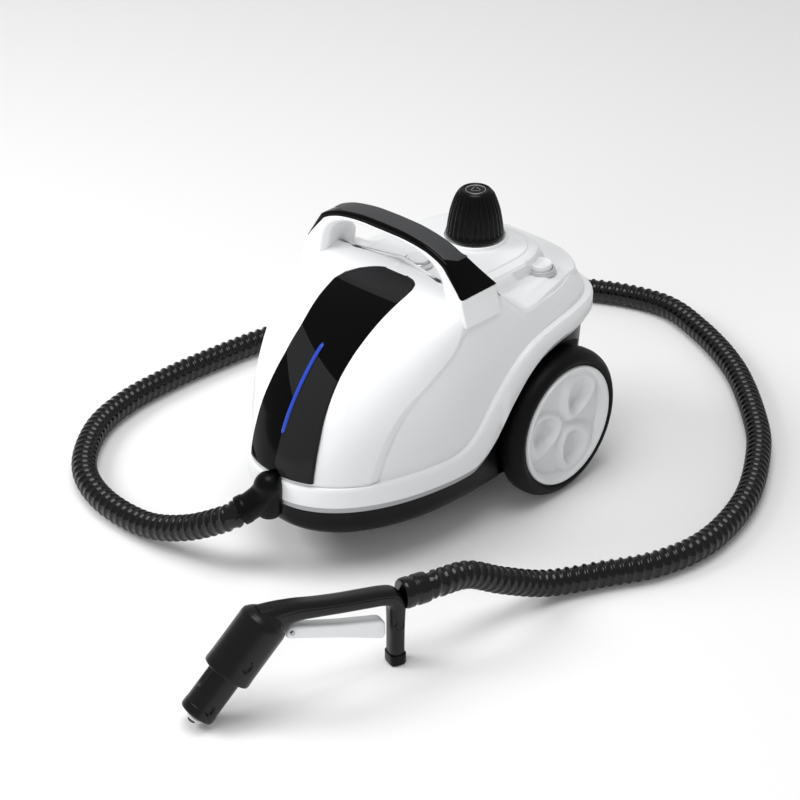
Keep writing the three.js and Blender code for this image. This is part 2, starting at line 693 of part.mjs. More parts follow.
// The wheel disc has three petal-shaped dishes and three shallow webs between them.
function wheelHub(side) {
  const disc = solid(wheelTurned([
    [0, WHEEL_INNER + 1], [14, WHEEL_INNER + 1], [14, WHEEL_INNER + 8], [RIM_RADIUS - 5, WHEEL_INNER + 8],
    [RIM_RADIUS - 5, WHEEL_INNER + 2], [RIM_RADIUS, WHEEL_INNER + 2], [RIM_RADIUS, WHEEL_OUTER],
    [RIM_RADIUS - 4, WHEEL_OUTER + 1], [RIM_RADIUS - 6, WHEEL_OUTER - 1], [0, WHEEL_OUTER - 1],
  ], 28, side));
  const dishes = [0, 1, 2].map((turn) => {
    const angle = THREE.MathUtils.degToRad(50 + 120 * turn);
    const dish = new THREE.SphereGeometry(1, 12, 8).scale(14, 21, 21);
    return solid(dish.translate(
      side * (WHEEL_OUTER + 4), 34 * Math.cos(angle), AXLE_Z + 34 * Math.sin(angle),
    ));
  });
  const bore = solid(rod(
    [side * (WHEEL_INNER - 5), 0, AXLE_Z], [side * (WHEEL_OUTER - 11), 0, AXLE_Z], AXLE_RADIUS + GAP, 16,
  ));
  return cut(disc, ...dishes, bore);
}

function axleStub(side) {
  const shaft = solid(rod([side * 82, 0, AXLE_Z], [side * (WHEEL_OUTER - 11.5), 0, AXLE_Z], AXLE_RADIUS, 16));
  const head = solid(rod([side * 82, 0, AXLE_Z], [side * (ARCH_WALL - 6 - GAP), 0, AXLE_Z], 9, 6));
  return joined(shaft, head);
}

function caster(parent) {
  const wheelY = CASTER_Y + CASTER_TRAIL;
  const stem = solid(rod([0, CASTER_Y, 33], [0, CASTER_Y, 51], 5, 16));
  const plate = solid(rod([0, CASTER_Y, 32], [0, CASTER_Y, 37], 13, 20));
  const cheeks = [-1, 1].map((side) => {
    const [near, far] = [side * 8, side * 10.5].sort((a, b) => a - b);
    return solid(box([near, wheelY - 7, 10], [far, wheelY + 4, 33]));
  });
  const crown = solid(box([-10.5, CASTER_Y - 4, 33], [10.5, wheelY + 4, 36]));
  const pinHole = solid(rod([-20, wheelY, CASTER_RADIUS], [20, wheelY, CASTER_RADIUS], 2 + GAP, 12));
  const fork = cut(joined(stem, plate, crown, ...cheeks), pinHole);
  piece(parent, 'caster_fork', fork, BLACK);
  const roller = turned([
    [2 + GAP, -7], [12, -7], [CASTER_RADIUS, -4.5], [CASTER_RADIUS, 4.5], [12, 7], [2 + GAP, 7], [2 + GAP, -7],
  ], 24).rotateY(Math.PI / 2).translate(0, wheelY, CASTER_RADIUS);
  piece(parent, 'caster_wheel', roller, GREY);
  piece(parent, 'caster_pin', rod([-11.5, wheelY, CASTER_RADIUS], [11.5, wheelY, CASTER_RADIUS], 2, 12), STEEL);
}

// ---------------------------------------------------------------- electrics

const GLAND_X = -52;
const GLAND_Z = 110;

function glandHole() {
  return solid(rod([GLAND_X, 40, GLAND_Z], [GLAND_X, 110, GLAND_Z], 7 + GAP));
}

function cordGland() {
  const barrel = solid(rod([GLAND_X, 64, GLAND_Z], [GLAND_X, 90, GLAND_Z], 7));
  const lip = solid(rod([GLAND_X, 79.5, GLAND_Z], [GLAND_X, 83.5, GLAND_Z], 10));
  const bore = solid(rod([GLAND_X, 40, GLAND_Z], [GLAND_X, 110, GLAND_Z], 3.6, 10));
  return cut(joined(barrel, lip), bore);
}

// ---------------------------------------------------------------- steam gun

// The gun stands on its foot and nozzle. In its own frame the nozzle points along -Y and
// down, and the foot of its arm is at the origin.
const GUN_AT = [195, -329]; // measured from the machine's centre line and axle
const GUN_TURN = THREE.MathUtils.degToRad(-18.9);
const BARREL_BACK = new THREE.Vector3(0, -135, 84);
const BARREL_PITCH = THREE.MathUtils.degToRad(48);
const BARREL_WAY = new THREE.Vector3(0, -Math.cos(BARREL_PITCH), -Math.sin(BARREL_PITCH));
const COLLAR_RADIUS = 22;
const TUBE_RADIUS = 16.5;
const TUBE_END = 96.4; // along the barrel from its back, close to the floor
const COLLAR_BACK = -18;
const COLLAR_END = 50;
const ARM_HALF = 9;
const GRIP_HALF = 10; // half the thickness of the grip, side to side
const FOOT_TOP = 12;
const GUN_HOSE_Z = 73;
const TRIGGER_PIN = [-107, 73]; // y and z of its pivot
const SCREW_Z = 45;

function onBarrel(distance) {
  return BARREL_WAY.clone().multiplyScalar(distance).add(BARREL_BACK).toArray();
}

function barrelRod(from, to, radius, segments = 18, endRadius = radius) {
  return solid(rod(onBarrel(from), onBarrel(to), radius, segments, endRadius));
}

// Side view of the grip and its arm, `grow` millimetres larger all round.
function gripOutline(grow) {
  return [
    [-ARM_HALF - grow, FOOT_TOP + GAP], [ARM_HALF + grow, FOOT_TOP + GAP], [ARM_HALF + grow, 74],
    [ARM_HALF + grow - 4, 84 + grow], [-30, 88 + grow], [-80, 96.5 + grow], [-118, 105 + grow],
    [-140, 108 + grow], [-140, 70 - grow], [-124, 76 - grow], [-106, 82 - grow], [-60, 77 - grow],
    [-20, 70.5 - grow], [-ARM_HALF - grow, 64 - grow],
  ];
}

function gunShell(side) {
  const half = solid(box([side < 0 ? -30 : 0.15, -200, 0], [side < 0 ? -0.15 : 30, 60, 130]));
  const outer = solid(slab(gripOutline(0), -GRIP_HALF, GRIP_HALF, 'yz'));
  const inner = solid(slab(gripOutline(-2.5), 2.5 - GRIP_HALF, GRIP_HALF - 2.5, 'yz'));
  const cuffBore = solid(rod([0, 0, GUN_HOSE_Z], [0, 30, GUN_HOSE_Z], 6.5, 16));
  const pinBore = solid(rod(
    [-20, ...TRIGGER_PIN], [20, ...TRIGGER_PIN], 2 + GAP, 12,
  ));
  const ears = solid(box([-GRIP_HALF, TRIGGER_PIN[0] - 6, TRIGGER_PIN[1] - 6], [GRIP_HALF, TRIGGER_PIN[0] + 6, 84]));
  const earGap = solid(box([-7, TRIGGER_PIN[0] - 7, TRIGGER_PIN[1] - 7], [7, TRIGGER_PIN[0] + 7, 83]));
  const screwBore = solid(rod([-20, 0, SCREW_Z], [20, 0, SCREW_Z], 2 + GAP, 12));
  const headBore = solid(rod([GRIP_HALF - 2, 0, SCREW_Z], [20, 0, SCREW_Z], 3.6 + GAP, 16));
  const body = joined(cut(outer, inner), cut(ears, earGap));
  const barrel = barrelRod(COLLAR_BACK - GAP, COLLAR_END, COLLAR_RADIUS + 1 + GAP);
  return cut(common(body, half), barrel, cuffBore, pinBore, screwBore, headBore);
}

function gunCollar() {
  const outer = joined(
    barrelRod(COLLAR_BACK + 9.9, COLLAR_END, COLLAR_RADIUS + 1, 18, COLLAR_RADIUS),
    barrelRod(COLLAR_BACK, COLLAR_BACK + 10, COLLAR_RADIUS - 7, 18, COLLAR_RADIUS + 1),
  );
  return cut(outer, barrelRod(12, COLLAR_END + 2, TUBE_RADIUS + GAP), barrelRod(-30, 20, 5));
}

function gunBarrel(parent) {
  piece(parent, 'gun_collar', gunCollar(), BLACK);
  const tube = cut(
    barrelRod(12 + GAP, TUBE_END, TUBE_RADIUS), barrelRod(TUBE_END - 5, TUBE_END + 5, 10),
    barrelRod(0, TUBE_END + 5, 4.5, 16),
  );
  piece(parent, 'gun_tube', tube, BLACK);
  const nozzle = joined(barrelRod(TUBE_END - 30, TUBE_END + 8, 4, 16), barrelRod(TUBE_END - 4.7, TUBE_END + 2, 6.5, 16));
  piece(parent, 'gun_nozzle', cut(nozzle, barrelRod(TUBE_END - 40, TUBE_END + 12, 1.5, 10)), GREY);
  const ring = cut(barrelRod(TUBE_END + 2.3, TUBE_END + 5.3, 6.5, 20), barrelRod(TUBE_END, TUBE_END + 8, 4 + GAP, 16));
  piece(parent, 'gun_o_ring', ring, SILICONE);
}

function gunTrigger() {
  const [y, z] = TRIGGER_PIN;
  const lever = solid(slab([
    [y - 5, z - 6], [y + 4, z - 9], [-60, 50], [-16, 34], [-13, 37], [-13, 52], [-17, 55], [-60, 65],
    [y + 10, z + 3], [y, z + 5], [y - 5, z + 1],
  ], -6.5, 6.5, 'yz'));
  return cut(lever, solid(rod([-20, y, z], [20, y, z], 2 + GAP, 12)));
}

function gunFoot() {
  return slab([
    [-ARM_HALF, 0], [ARM_HALF, 0], [ARM_HALF + 1, 2], [ARM_HALF + 1, FOOT_TOP], [-ARM_HALF - 1, FOOT_TOP],
    [-ARM_HALF - 1, 2],
  ], -GRIP_HALF, GRIP_HALF, 'yz');
}

function gunCuff() {
  const outer = joined(
    solid(rod([0, ARM_HALF + GAP, GUN_HOSE_Z], [0, 32, GUN_HOSE_Z], 14.5, 20)),
    solid(rod([0, 4, GUN_HOSE_Z], [0, 12, GUN_HOSE_Z], 6, 16)),
  );
  return cut(outer, solid(rod([0, 0, GUN_HOSE_Z], [0, 40, GUN_HOSE_Z], 4, 12)));
}

function gunSteamTube() {
  const points = [
    [0, 3.6, GUN_HOSE_Z], [0, -10, 75.5], [0, -40, 81], [0, -80, 88], [0, -106, 92.5],
  ].map((place) => new THREE.Vector3(...place));
  return tubeAlong(points, 3, 6, 8);
}

function steamGun() {
  const gun = new THREE.Group();
  gun.position.set(GUN_AT[0], GUN_AT[1], 0);
  gun.rotation.z = GUN_TURN;
  gunBarrel(gun);
  piece(gun, 'gun_shell_left', gunShell(-1), BLACK);
  piece(gun, 'gun_shell_right', gunShell(1), BLACK);
  piece(gun, 'gun_foot', gunFoot(), GREY);
  piece(gun, 'gun_trigger', gunTrigger(), WHITE);
  piece(gun, 'gun_trigger_pin', rod([-9, ...TRIGGER_PIN], [9, ...TRIGGER_PIN], 2, 12), STEEL);
  piece(gun, 'gun_screw', joined(
    solid(rod([-7, 0, SCREW_Z], [GRIP_HALF - 1.5, 0, SCREW_Z], 2, 12)),
    solid(rod([GRIP_HALF - 1.7, 0, SCREW_Z], [GRIP_HALF - 0.5, 0, SCREW_Z], 3.6, 16)),
  ), STEEL);
  piece(gun, 'gun_steam_tube', gunSteamTube(), SILICONE);
  piece(gun, 'hose_cuff_gun', gunCuff(), RUBBER);
  return gun;
}

// ---------------------------------------------------------------- hose

// The hose leaves the nose, sweeps round behind the machine on the floor and comes forward
// on the other side to the gun. Points are measured from the centre line and the axle.
const HOSE_ROUTE = [
  [-68, -343, 35], [-120, -350, 18], [-180, -348, 14], [-232, -332, 14],
  [-271, -302, 14], [-306, -252, 14], [-322, -196, 14], [-325, -137, 14], [-322, -80, 14],
  [-312, 0, 14], [-290, 90, 14], [-255, 180, 14], [-205, 265, 14], [-128, 335, 14], [-41, 368, 14],
  [33, 349, 14], [117, 302, 14], [196, 230, 14], [240, 174, 14], [281, 95, 14], [298, 12, 14],
  [287, -53, 14], [257, -108, 14], [233, -160, 19], [221, -210, 42], [213, -250, 65],
];

function gunPoint(y, z) {
  const [x0, y0] = GUN_AT;
  return new THREE.Vector3(x0 - y * Math.sin(GUN_TURN), y0 + y * Math.cos(GUN_TURN), z);
}

function steamHose() {
  const points = [
    new THREE.Vector3(...onHoseAxis(0)),
    new THREE.Vector3(...onHoseAxis(13)),
    ...HOSE_ROUTE.map((place) => new THREE.Vector3(...place)),
    gunPoint(45, GUN_HOSE_Z),
    gunPoint(32 + 2 * GAP, GUN_HOSE_Z),
  ];
  return tubeAlong(points, HOSE_RADIUS, 8, 52);
}

// ---------------------------------------------------------------- assembly

function build() {
  piece(machine, 'chassis_base', chassisBase(), BLACK);
  piece(machine, 'bumper_band', bumperBand(), WHITE);
  piece(machine, 'hose_socket', hoseSocket(), BLACK);
  piece(machine, 'front_shell', frontShell(), WHITE);
  piece(machine, 'front_panel', frontPanel(), GLOSS_BLACK);
  piece(machine, 'light_strip', lightStrip(), BLUE);
  piece(machine, 'rear_housing', rearHousing(), WHITE);
  piece(machine, 'rear_deck', rearDeck(), WHITE);
  piece(machine, 'handle_lower', handleLower(), WHITE);
  piece(machine, 'handle_cover', handleCover(), GLOSS_BLACK);
  piece(machine, 'handle_inlay', handleInlay(), GREY);
  buttonSet(machine, 'power', POWER_AT, LOBE_TOP, { radius: 11.5, collar: 4, rise: 9.5 }, WHITE);
  buttonSet(machine, 'mode', MODE_AT, PLATEAU_TOP, { radius: 11.5, collar: 6.5, rise: 8.5 }, WHITE);
  piece(machine, 'filler_collar', fillerCollar(), WHITE);
  fillerCap(machine);
  boiler(machine);
  piece(machine, 'heating_element', heatingElement(), STEEL);
  boilerFittings(machine);
  piece(machine, 'solenoid_valve', solenoidValve(), BRASS);
  steamPipes(machine);
  piece(machine, 'led_board', box([-9, -216, 150], [9, -214, 190]), BOARD);
  piece(machine, 'cord_gland', cordGland(), RUBBER);
  caster(machine);
  for (const [side, word] of [[-1, 'left'], [1, 'right']]) {
    piece(machine, `tyre_${word}`, tyre(side), RUBBER);
    piece(machine, `wheel_hub_${word}`, wheelHub(side), WHITE);
    piece(machine, `axle_stub_${word}`, axleStub(side), STEEL);
  }
  piece(machine, 'hose_cuff_machine', hoseCuff(), RUBBER);
  piece(machine, 'steam_hose', steamHose(), RUBBER);
  machine.add(steamGun());
}

build();

export default root;
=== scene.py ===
import math

import bmesh
import bpy
import numpy as np
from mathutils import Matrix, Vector


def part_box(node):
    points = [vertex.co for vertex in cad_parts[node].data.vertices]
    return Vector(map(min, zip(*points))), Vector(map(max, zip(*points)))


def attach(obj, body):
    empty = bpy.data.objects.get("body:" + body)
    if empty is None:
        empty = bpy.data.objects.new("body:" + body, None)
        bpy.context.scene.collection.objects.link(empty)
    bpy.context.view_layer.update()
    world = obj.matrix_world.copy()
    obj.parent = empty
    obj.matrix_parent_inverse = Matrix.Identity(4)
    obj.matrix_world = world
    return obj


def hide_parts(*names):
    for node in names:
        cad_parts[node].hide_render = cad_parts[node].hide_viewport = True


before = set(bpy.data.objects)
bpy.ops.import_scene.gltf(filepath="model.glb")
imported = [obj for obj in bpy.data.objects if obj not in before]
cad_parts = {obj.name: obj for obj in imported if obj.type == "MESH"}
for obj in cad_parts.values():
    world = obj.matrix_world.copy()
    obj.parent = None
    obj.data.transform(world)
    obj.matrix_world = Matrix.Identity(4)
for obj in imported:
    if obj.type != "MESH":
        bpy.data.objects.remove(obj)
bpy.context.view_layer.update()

# Shapes are given in millimetres from the machine's own origin: x from its centre line,
# y from the rear axle (the front is -y) and z from the floor. place() turns them into the
# metres of the frame.


def box_of(node):
    """The low and high corners of a CAD node, in millimetres of the frame."""
    return [[1000 * v for v in corner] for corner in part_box(node)]


def middle_of(node):
    low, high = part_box(node)
    return [1000 * (low[i] + high[i]) / 2 for i in range(3)]


TYRE_LOW, TYRE_HIGH = box_of("tyre_right")
CENTRE_X = (middle_of("tyre_left")[0] + middle_of("tyre_right")[0]) / 2
AXLE_Y, AXLE_Z = middle_of("tyre_right")[1:]
TYRE_RADIUS = (TYRE_HIGH[2] - TYRE_LOW[2]) / 2
WHEEL_INNER = TYRE_LOW[0] - CENTRE_X
WHEEL_OUTER = TYRE_HIGH[0] - CENTRE_X
RIM_RADIUS = TYRE_RADIUS - 15

BODY_MID = -110  # y where the body is widest
# height, front, rear, half width, squareness of the front half of the outline there
BODY_LEVELS = [
    (34, -268, 70, 94, 2.2),
    (48, -284, 80, 105, 2.2),
    (100, -288, 84, 108, 2.2),
    (150, -271, 86, 113, 2.4),
    (180, -254, 86, 115, 2.5),
    (205, -233, 84, 115, 2.6),
    (225, -209, 80, 114, 2.7),
    (240, -186, 74, 111, 2.7),
    (252, -158, 66, 106, 2.7),
    (260, -130, 52, 98, 2.6),
    (264, -118, 40, 88, 2.5),
]
REAR_SQUARENESS = [(205, 4.5), (226, 3.0)]  # the rear half, by height

BAND_LOW = 70
BAND_HIGH = 99
# y, lower edge and upper edge of the bumper band along the side
BAND_LINE = [
    (-330, BAND_LOW, BAND_HIGH),
    (-180, BAND_LOW, BAND_HIGH),
    (-140, BAND_LOW, 102),
    (-118, 73, 116),
    (-97, 90, 145),
    (-75, 124, 170),
    (-50, 152, 187),
    (-20, 168, 195),
    (30, 173, 199),
    (130, 173, 199),
]
# y and height of the edge where the front shell stands over the sides
RIDGE = [
    (-233, 96), (-231, 108), (-226, 128), (-216, 154), (-201, 176), (-177, 197), (-150, 219),
    (-136, 236), (-128, 250), (-119, 262),
]
SIDE_INSET = 4  # how far the sides lie behind the front shell
RIDGE_BEVEL = 9

SHELL_TOP = 264
PANEL_LOW = 103
PANEL_HIGH = 261
CAP_Y = middle_of("cap_shell")[1] - AXLE_Y
CAP_BASE = box_of("cap_shell")[0][2]
PLATEAU_TOP = 250
LOBE_TOP = 231

CAMERA_AZIMUTH = 43
CAMERA_ELEVATION = 30.5
CAMERA_TARGET = (1.9, -115.7, 109.2)
CAMERA_DISTANCE = 2.4
CAMERA_LENS = 108


# ---------------------------------------------------------------- small tools

def place(point):
    x, y, z = point
    return ((x + CENTRE_X) / 1000, (y + AXLE_Y) / 1000, z / 1000)


def flowing(points, steps=12):
    """The smooth line through a few points (Catmull-Rom), as an array."""
    points = np.array(points, float)
    line = np.vstack([2 * points[0] - points[1], points, 2 * points[-1] - points[-2]])
    t = np.linspace(0, 1, steps, endpoint=False)[:, None]
    parts = []
    for a, b, c, d in zip(line, line[1:], line[2:], line[3:]):
        bend = 2 * a - 5 * b + 4 * c - d
        parts.append(0.5 * (2 * b + (c - a) * t + bend * t**2 + (3 * b - 3 * c + d - a) * t**3))
    return np.vstack([*parts, points[-1:]])


def distances(line):
    """How far every point of a line lies from its start, along it."""
    return np.concatenate([[0], np.cumsum(np.linalg.norm(np.diff(line, axis=0), axis=1))])


def evenly(line, count):
    """The same line as points at even steps along it."""
    line = np.array(line, float)
    along = distances(line)
    steps = np.linspace(0, along[-1], count)
    return np.stack([np.interp(steps, along, line[:, k]) for k in range(line.shape[1])], 1)


def smoothly(value, low, high):
    t = np.clip((value - low) / (high - low), 0, 1)
    return t * t * (3 - 2 * t)


def rounded(corners, radius, steps=4, closed=True):
    """A flat outline with every corner turned into an arc. A closed one ends where it starts."""
    corners = [np.array(c, float) for c in corners]
    out = []
    for i, corner in enumerate(corners):
        if not closed and i in (0, len(corners) - 1):
            out.append(corner)
            continue
        before = corners[i - 1] - corner
        after = corners[(i + 1) % len(corners)] - corner
        reach = min(radius, np.linalg.norm(before) * 0.45, np.linalg.norm(after) * 0.45)
        start = corner + before / np.linalg.norm(before) * reach
        end = corner + after / np.linalg.norm(after) * reach
        for t in np.linspace(0, 1, steps + 1):
            out.append((1 - t) ** 2 * start + 2 * t * (1 - t) * corner + t * t * end)
    return [*out, out[0]] if closed else out


SHARP_ANGLE = 32  # degrees between faces, above which an edge stays sharp


def clean_mesh(name, points, faces):
    """A mesh from points in millimetres, its doubles joined and its faces turned outwards."""
    mesh = bpy.data.meshes.new(name)
    mesh.from_pydata([place(p) for p in points], [], faces)
    work = bmesh.new()
    work.from_mesh(mesh)
    bmesh.ops.remove_doubles(work, verts=work.verts, dist=1e-6)
    bmesh.ops.recalc_face_normals(work, faces=work.faces)
    work.to_mesh(mesh)
    work.free()
    return mesh


def show(name, points, faces, look, nodes="", body="base", slot=None, sharp=SHARP_ANGLE):
    """Makes one piece from points in millimetres, on a body, in place of the CAD nodes named."""
    stands_for = nodes.split()
    mesh = clean_mesh(name, points, faces)
    mesh.shade_smooth()
    mesh.set_sharp_from_angle(angle=math.radians(sharp))
    mesh.materials.append(look)
    piece = bpy.data.objects.new(name, mesh)
    bpy.context.collection.objects.link(piece)
    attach(piece, body)
    if stands_for:
        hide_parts(*stands_for)
    return piece


def quads(rows, columns, wrap_rows=False, wrap_columns=False):
    faces = []
    for i in range(rows if wrap_rows else rows - 1):
        for j in range(columns if wrap_columns else columns - 1):
            a, b = i, (i + 1) % rows
            c, d = j, (j + 1) % columns
            faces.append((a * columns + c, a * columns + d, b * columns + d, b * columns + c))
    return faces


def tube_faces(rows, columns):
    """The faces of a tube of rings, closed at both ends."""
    ends = [tuple(range(columns)), tuple(range((rows - 1) * columns, rows * columns))]
    return quads(rows, columns, wrap_columns=True) + ends


def swept(name, rings, look, stands_for="", **kwargs):
    """A closed piece through rings of points."""
    rings = np.array(rings)
    return show(name, rings.reshape(-1, 3), tube_faces(*rings.shape[:2]), look, stands_for, **kwargs)


def sheet_piece(name, grid, look, thickness, stands_for, **kwargs):
    """An open skin from a grid of points, given a wall."""
    grid = np.array(grid, float)
    rows, columns = grid.shape[:2]
    piece = show(name, grid.reshape(-1, 3), quads(rows, columns), look, stands_for, **kwargs)
    wall = piece.modifiers.new("wall", "SOLIDIFY")
    wall.thickness = thickness / 1000
    wall.offset = -1
    return piece


def full_turn(count):
    """Angles at even steps round a circle."""
    return [2 * math.pi * i / count for i in range(count)]


def turned(name, profile, look, stands_for, centre, axis="z", segments=64, **kwargs):
    """A turned piece: [radius, distance along the axis] points that run from axis to axis
    or close on themselves."""
    points = []
    for angle in full_turn(segments):
        for radius, along in profile:
            u, v = radius * math.cos(angle), radius * math.sin(angle)
            spot = (u, v, along) if axis == "z" else (along, u, v)
            points.append([spot[k] + centre[k] for k in range(3)])
    return show(name, points, quads(segments, len(profile), wrap_rows=True), look, stands_for, **kwargs)


def frames_along(line):
    """Direction, side and up vectors at every point of a line, without twist."""
    line = np.array(line, float)
    way = np.gradient(line, axis=0)
    way /= np.linalg.norm(way, axis=1)[:, None]
    side = np.cross(way[0], (0, 0, 1))
    if np.linalg.norm(side) < 0.1:
        side = np.array((1.0, 0, 0))
    sides = []
    for ahead in way:
        side = side - ahead * np.dot(side, ahead)
        side = side / np.linalg.norm(side)
        sides.append(side)
    sides = np.array(sides)
    return way, sides, np.cross(sides, way)


def tube_points(line, radii, sides):
    """Rings of points about a line; radii is one number per ring, or one row per ring."""
    _, side, up = frames_along(line)
    turn = np.linspace(0, 2 * math.pi, sides, endpoint=False)
    radii = np.broadcast_to(np.array(radii, float).reshape(len(line), -1), (len(line), sides))
    ring = np.cos(turn)[None, :, None] * side[:, None] + np.sin(turn)[None, :, None] * up[:, None]
    return np.array(line)[:, None] + radii[:, :, None] * ring


# ---------------------------------------------------------------- materials

MIX_SHARE, MIX_FIRST, MIX_SECOND, MIX_RESULT = 0, 6, 7, 2  # sockets of a node that mixes colours


def material(
    name, colour, roughness, metallic=0.0, coat=0.0, shine=0.5, grain=900.0, bump=0.04, wear=0.06, glow=0.0,
    clear=0.0,
):
    """A plastic, rubber or metal with fine grain, uneven roughness and slight wear."""
    look = bpy.data.materials.new(name)
    look.use_nodes = True
    nodes, links = look.node_tree.nodes, look.node_tree.links
    shader = nodes["Principled BSDF"]
    shader.inputs["Metallic"].default_value = metallic
    shader.inputs["Coat Weight"].default_value = coat
    shader.inputs["Specular IOR Level"].default_value = shine
    shader.inputs["Coat Roughness"].default_value = 0.08
    shader.inputs["Transmission Weight"].default_value = clear
    spots = nodes.new("ShaderNodeTexCoord")

    def noise(scale, detail):
        node = nodes.new("ShaderNodeTexNoise")
        node.inputs["Scale"].default_value = scale
        node.inputs["Detail"].default_value = detail
        links.new(spots.outputs["Object"], node.inputs["Vector"])
        return node

    def spread(source, low, high):
        node = nodes.new("ShaderNodeMapRange")
        node.inputs["From Min"].default_value = 0.3
        node.inputs["From Max"].default_value = 0.7
        node.inputs["To Min"].default_value = low
        node.inputs["To Max"].default_value = high
        links.new(source.outputs["Fac"], node.inputs["Value"])
        return node

    mix = nodes.new("ShaderNodeMix")
    mix.data_type = "RGBA"
    mix.inputs[MIX_FIRST].default_value = (*colour, 1)
    mix.inputs[MIX_SECOND].default_value = (*[v * (1 - wear) for v in colour], 1)
    links.new(spread(noise(14, 4), 0, 1).outputs[0], mix.inputs[MIX_SHARE])
    links.new(mix.outputs[MIX_RESULT], shader.inputs["Base Color"])
    uneven = spread(noise(55, 3), roughness * 0.96, roughness * 1.05)
    links.new(uneven.outputs[0], shader.inputs["Roughness"])
    relief = nodes.new("ShaderNodeBump")
    relief.inputs["Strength"].default_value = bump
    relief.inputs["Distance"].default_value = 0.0002
    links.new(noise(grain, 2).outputs["Fac"], relief.inputs["Height"])
    links.new(relief.outputs["Normal"], shader.inputs["Normal"])
    if glow:
        shader.inputs["Emission Color"].default_value = (*colour, 1)
        shader.inputs["Emission Strength"].default_value = glow
    return look


WHITE = material("white_abs", (0.86, 0.87, 0.88), 0.3, coat=0.12, bump=0.02, wear=0.02)
# painted shade: the grey that the band's in-turned lip gets for the shade it lies in
LIP_PAINTED_SHADE = material("lip_painted_shade", (0.5, 0.51, 0.52), 0.34, coat=0.1, bump=0.02, wear=0.02)
SATIN_WHITE = material("satin_white_abs", (0.84, 0.85, 0.86), 0.38, bump=0.05, wear=0.02)
WHEEL_WHITE = material("wheel_white", (0.8, 0.81, 0.82), 0.34, coat=0.15, bump=0.04, wear=0.03)
BUTTON_WHITE = material("button_white", (0.82, 0.83, 0.85), 0.2, coat=0.5, bump=0.02, wear=0.02)
GLOSS_BLACK = material("gloss_black", (0.0012, 0.0012, 0.0015), 0.12, shine=0.1, bump=0.01, wear=0.2)
PANEL_BLACK = material("panel_black", (0.0012, 0.0012, 0.0015), 0.12, shine=0.1, bump=0.01, wear=0.2)
BLACK = material("black_plastic", (0.002, 0.002, 0.0024), 0.3, shine=0.14, bump=0.08, wear=0.2)
CAP_BLACK = material("cap_black", (0.0015, 0.0015, 0.0018), 0.26, shine=0.2, bump=0.05, wear=0.2)
GUN_BLACK = material("gun_black", (0.003, 0.003, 0.0034), 0.3, shine=0.32, bump=0.12, wear=0.2)
INLAY_GREY = material("inlay_grey", (0.042, 0.043, 0.046), 0.42, grain=1500, bump=0.18, wear=0.12)
TYRE_BLACK = material("tyre_black", (0.0022, 0.0022, 0.0026), 0.5, shine=0.16, bump=0.2, wear=0.2)
HOSE_BLACK = material("hose_black", (0.0015, 0.0015, 0.0018), 0.17, shine=0.4, bump=0.05, wear=0.2)
LIGHT_BLUE = material("light_blue", (0.008, 0.045, 0.42), 0.25, coat=0.4, wear=0.05, glow=0.12)
CHROME = material("chrome_trim", (0.75, 0.76, 0.78), 0.12, metallic=1.0, bump=0.01, wear=0.04)
CLEAR = material("clear_collar", (0.7, 0.71, 0.73), 0.12, coat=0.5, bump=0.01, wear=0.03, clear=0.35)
STEEL = material("steel", (0.45, 0.46, 0.47), 0.3, metallic=1.0, bump=0.06, wear=0.12)
BOILER_METAL = material("boiler_metal", (0.55, 0.56, 0.57), 0.42, metallic=1.0, bump=0.25, wear=0.15)
BRASS = material("brass_parts", (0.5, 0.36, 0.14), 0.32, metallic=1.0, bump=0.08, wear=0.15)
SILICONE = material("silicone", (0.72, 0.71, 0.67), 0.5, bump=0.08, wear=0.06)
BOARD_GREEN = material("board_green", (0.02, 0.11, 0.05), 0.45, bump=0.15, wear=0.15)
FLOOR = material("studio_floor", (0.93, 0.93, 0.93), 0.75, bump=0.0, wear=0.0)


# ---------------------------------------------------------------- body outline

LEVELS = flowing(BODY_LEVELS, 24)
LINE_OF_BAND = flowing(BAND_LINE, 8)
LINE_OF_RIDGE = flowing(RIDGE, 8)


def level(height):
    return [np.interp(height, LEVELS[:, 0], LEVELS[:, k]) for k in range(1, 5)]


def outline_half(height, behind):
    """Half the width, the reach from BODY_MID and the squareness of the front or rear half."""
    front, rear, half, front_square = level(height)
    if behind:
        return half, rear - BODY_MID, np.interp(height, *zip(*REAR_SQUARENESS))
    return half, BODY_MID - front, front_square


def outline(height, angle, out=0.0):
    """The point of the body outline in a direction, `out` millimetres outside it."""
    across, along = math.cos(angle), math.sin(angle)
    half, reach, square = outline_half(height, along >= 0)
    size = (abs(across) ** square + abs(along) ** square) ** (1 / square)
    return ((half + out) * across / size, BODY_MID + (reach + out) * along / size, height)


def half_at(height, y, out=0.0):
    """Half the width of the body at a height and a distance along it."""
    half, reach, square = outline_half(height, y >= BODY_MID)
    return (half + out) * max(1 - abs((y - BODY_MID) / (reach + out)) ** square, 0) ** (1 / square)


def front_at(height, x, out=0.0):
    """y of the front face at a height and a distance from the centre line."""
    half, reach, square = outline_half(height, False)
    return BODY_MID - (reach + out) * max(1 - abs(x / (half + out)) ** square, 0) ** (1 / square)


def band_heights(y):
    return [np.interp(y, LINE_OF_BAND[:, 0], LINE_OF_BAND[:, k]) for k in (1, 2)]


def ridge_at(height):
    return np.interp(height, LINE_OF_RIDGE[:, 1], LINE_OF_RIDGE[:, 0])


def round_angles(count):
    """Directions at even steps round the outline, from the front and back to it."""
    turn = np.linspace(-math.pi / 2, 1.5 * math.pi, 720)
    line = np.array([[*outline(BAND_HIGH, a)[:2], a] for a in turn])
    along = distances(line[:, :2])
    return np.interp(np.linspace(0, along[-1], count, endpoint=False), along, line[:, 2])


# ---------------------------------------------------------------- front shell and panel

# height and distance from the centre line of the faint crease beside the panel
CREASE = [(150, 63), (167, 58.5), (188, 55.5), (205, 54.5), (219, 55), (231, 56.5), (248, 62), (262, 74)]

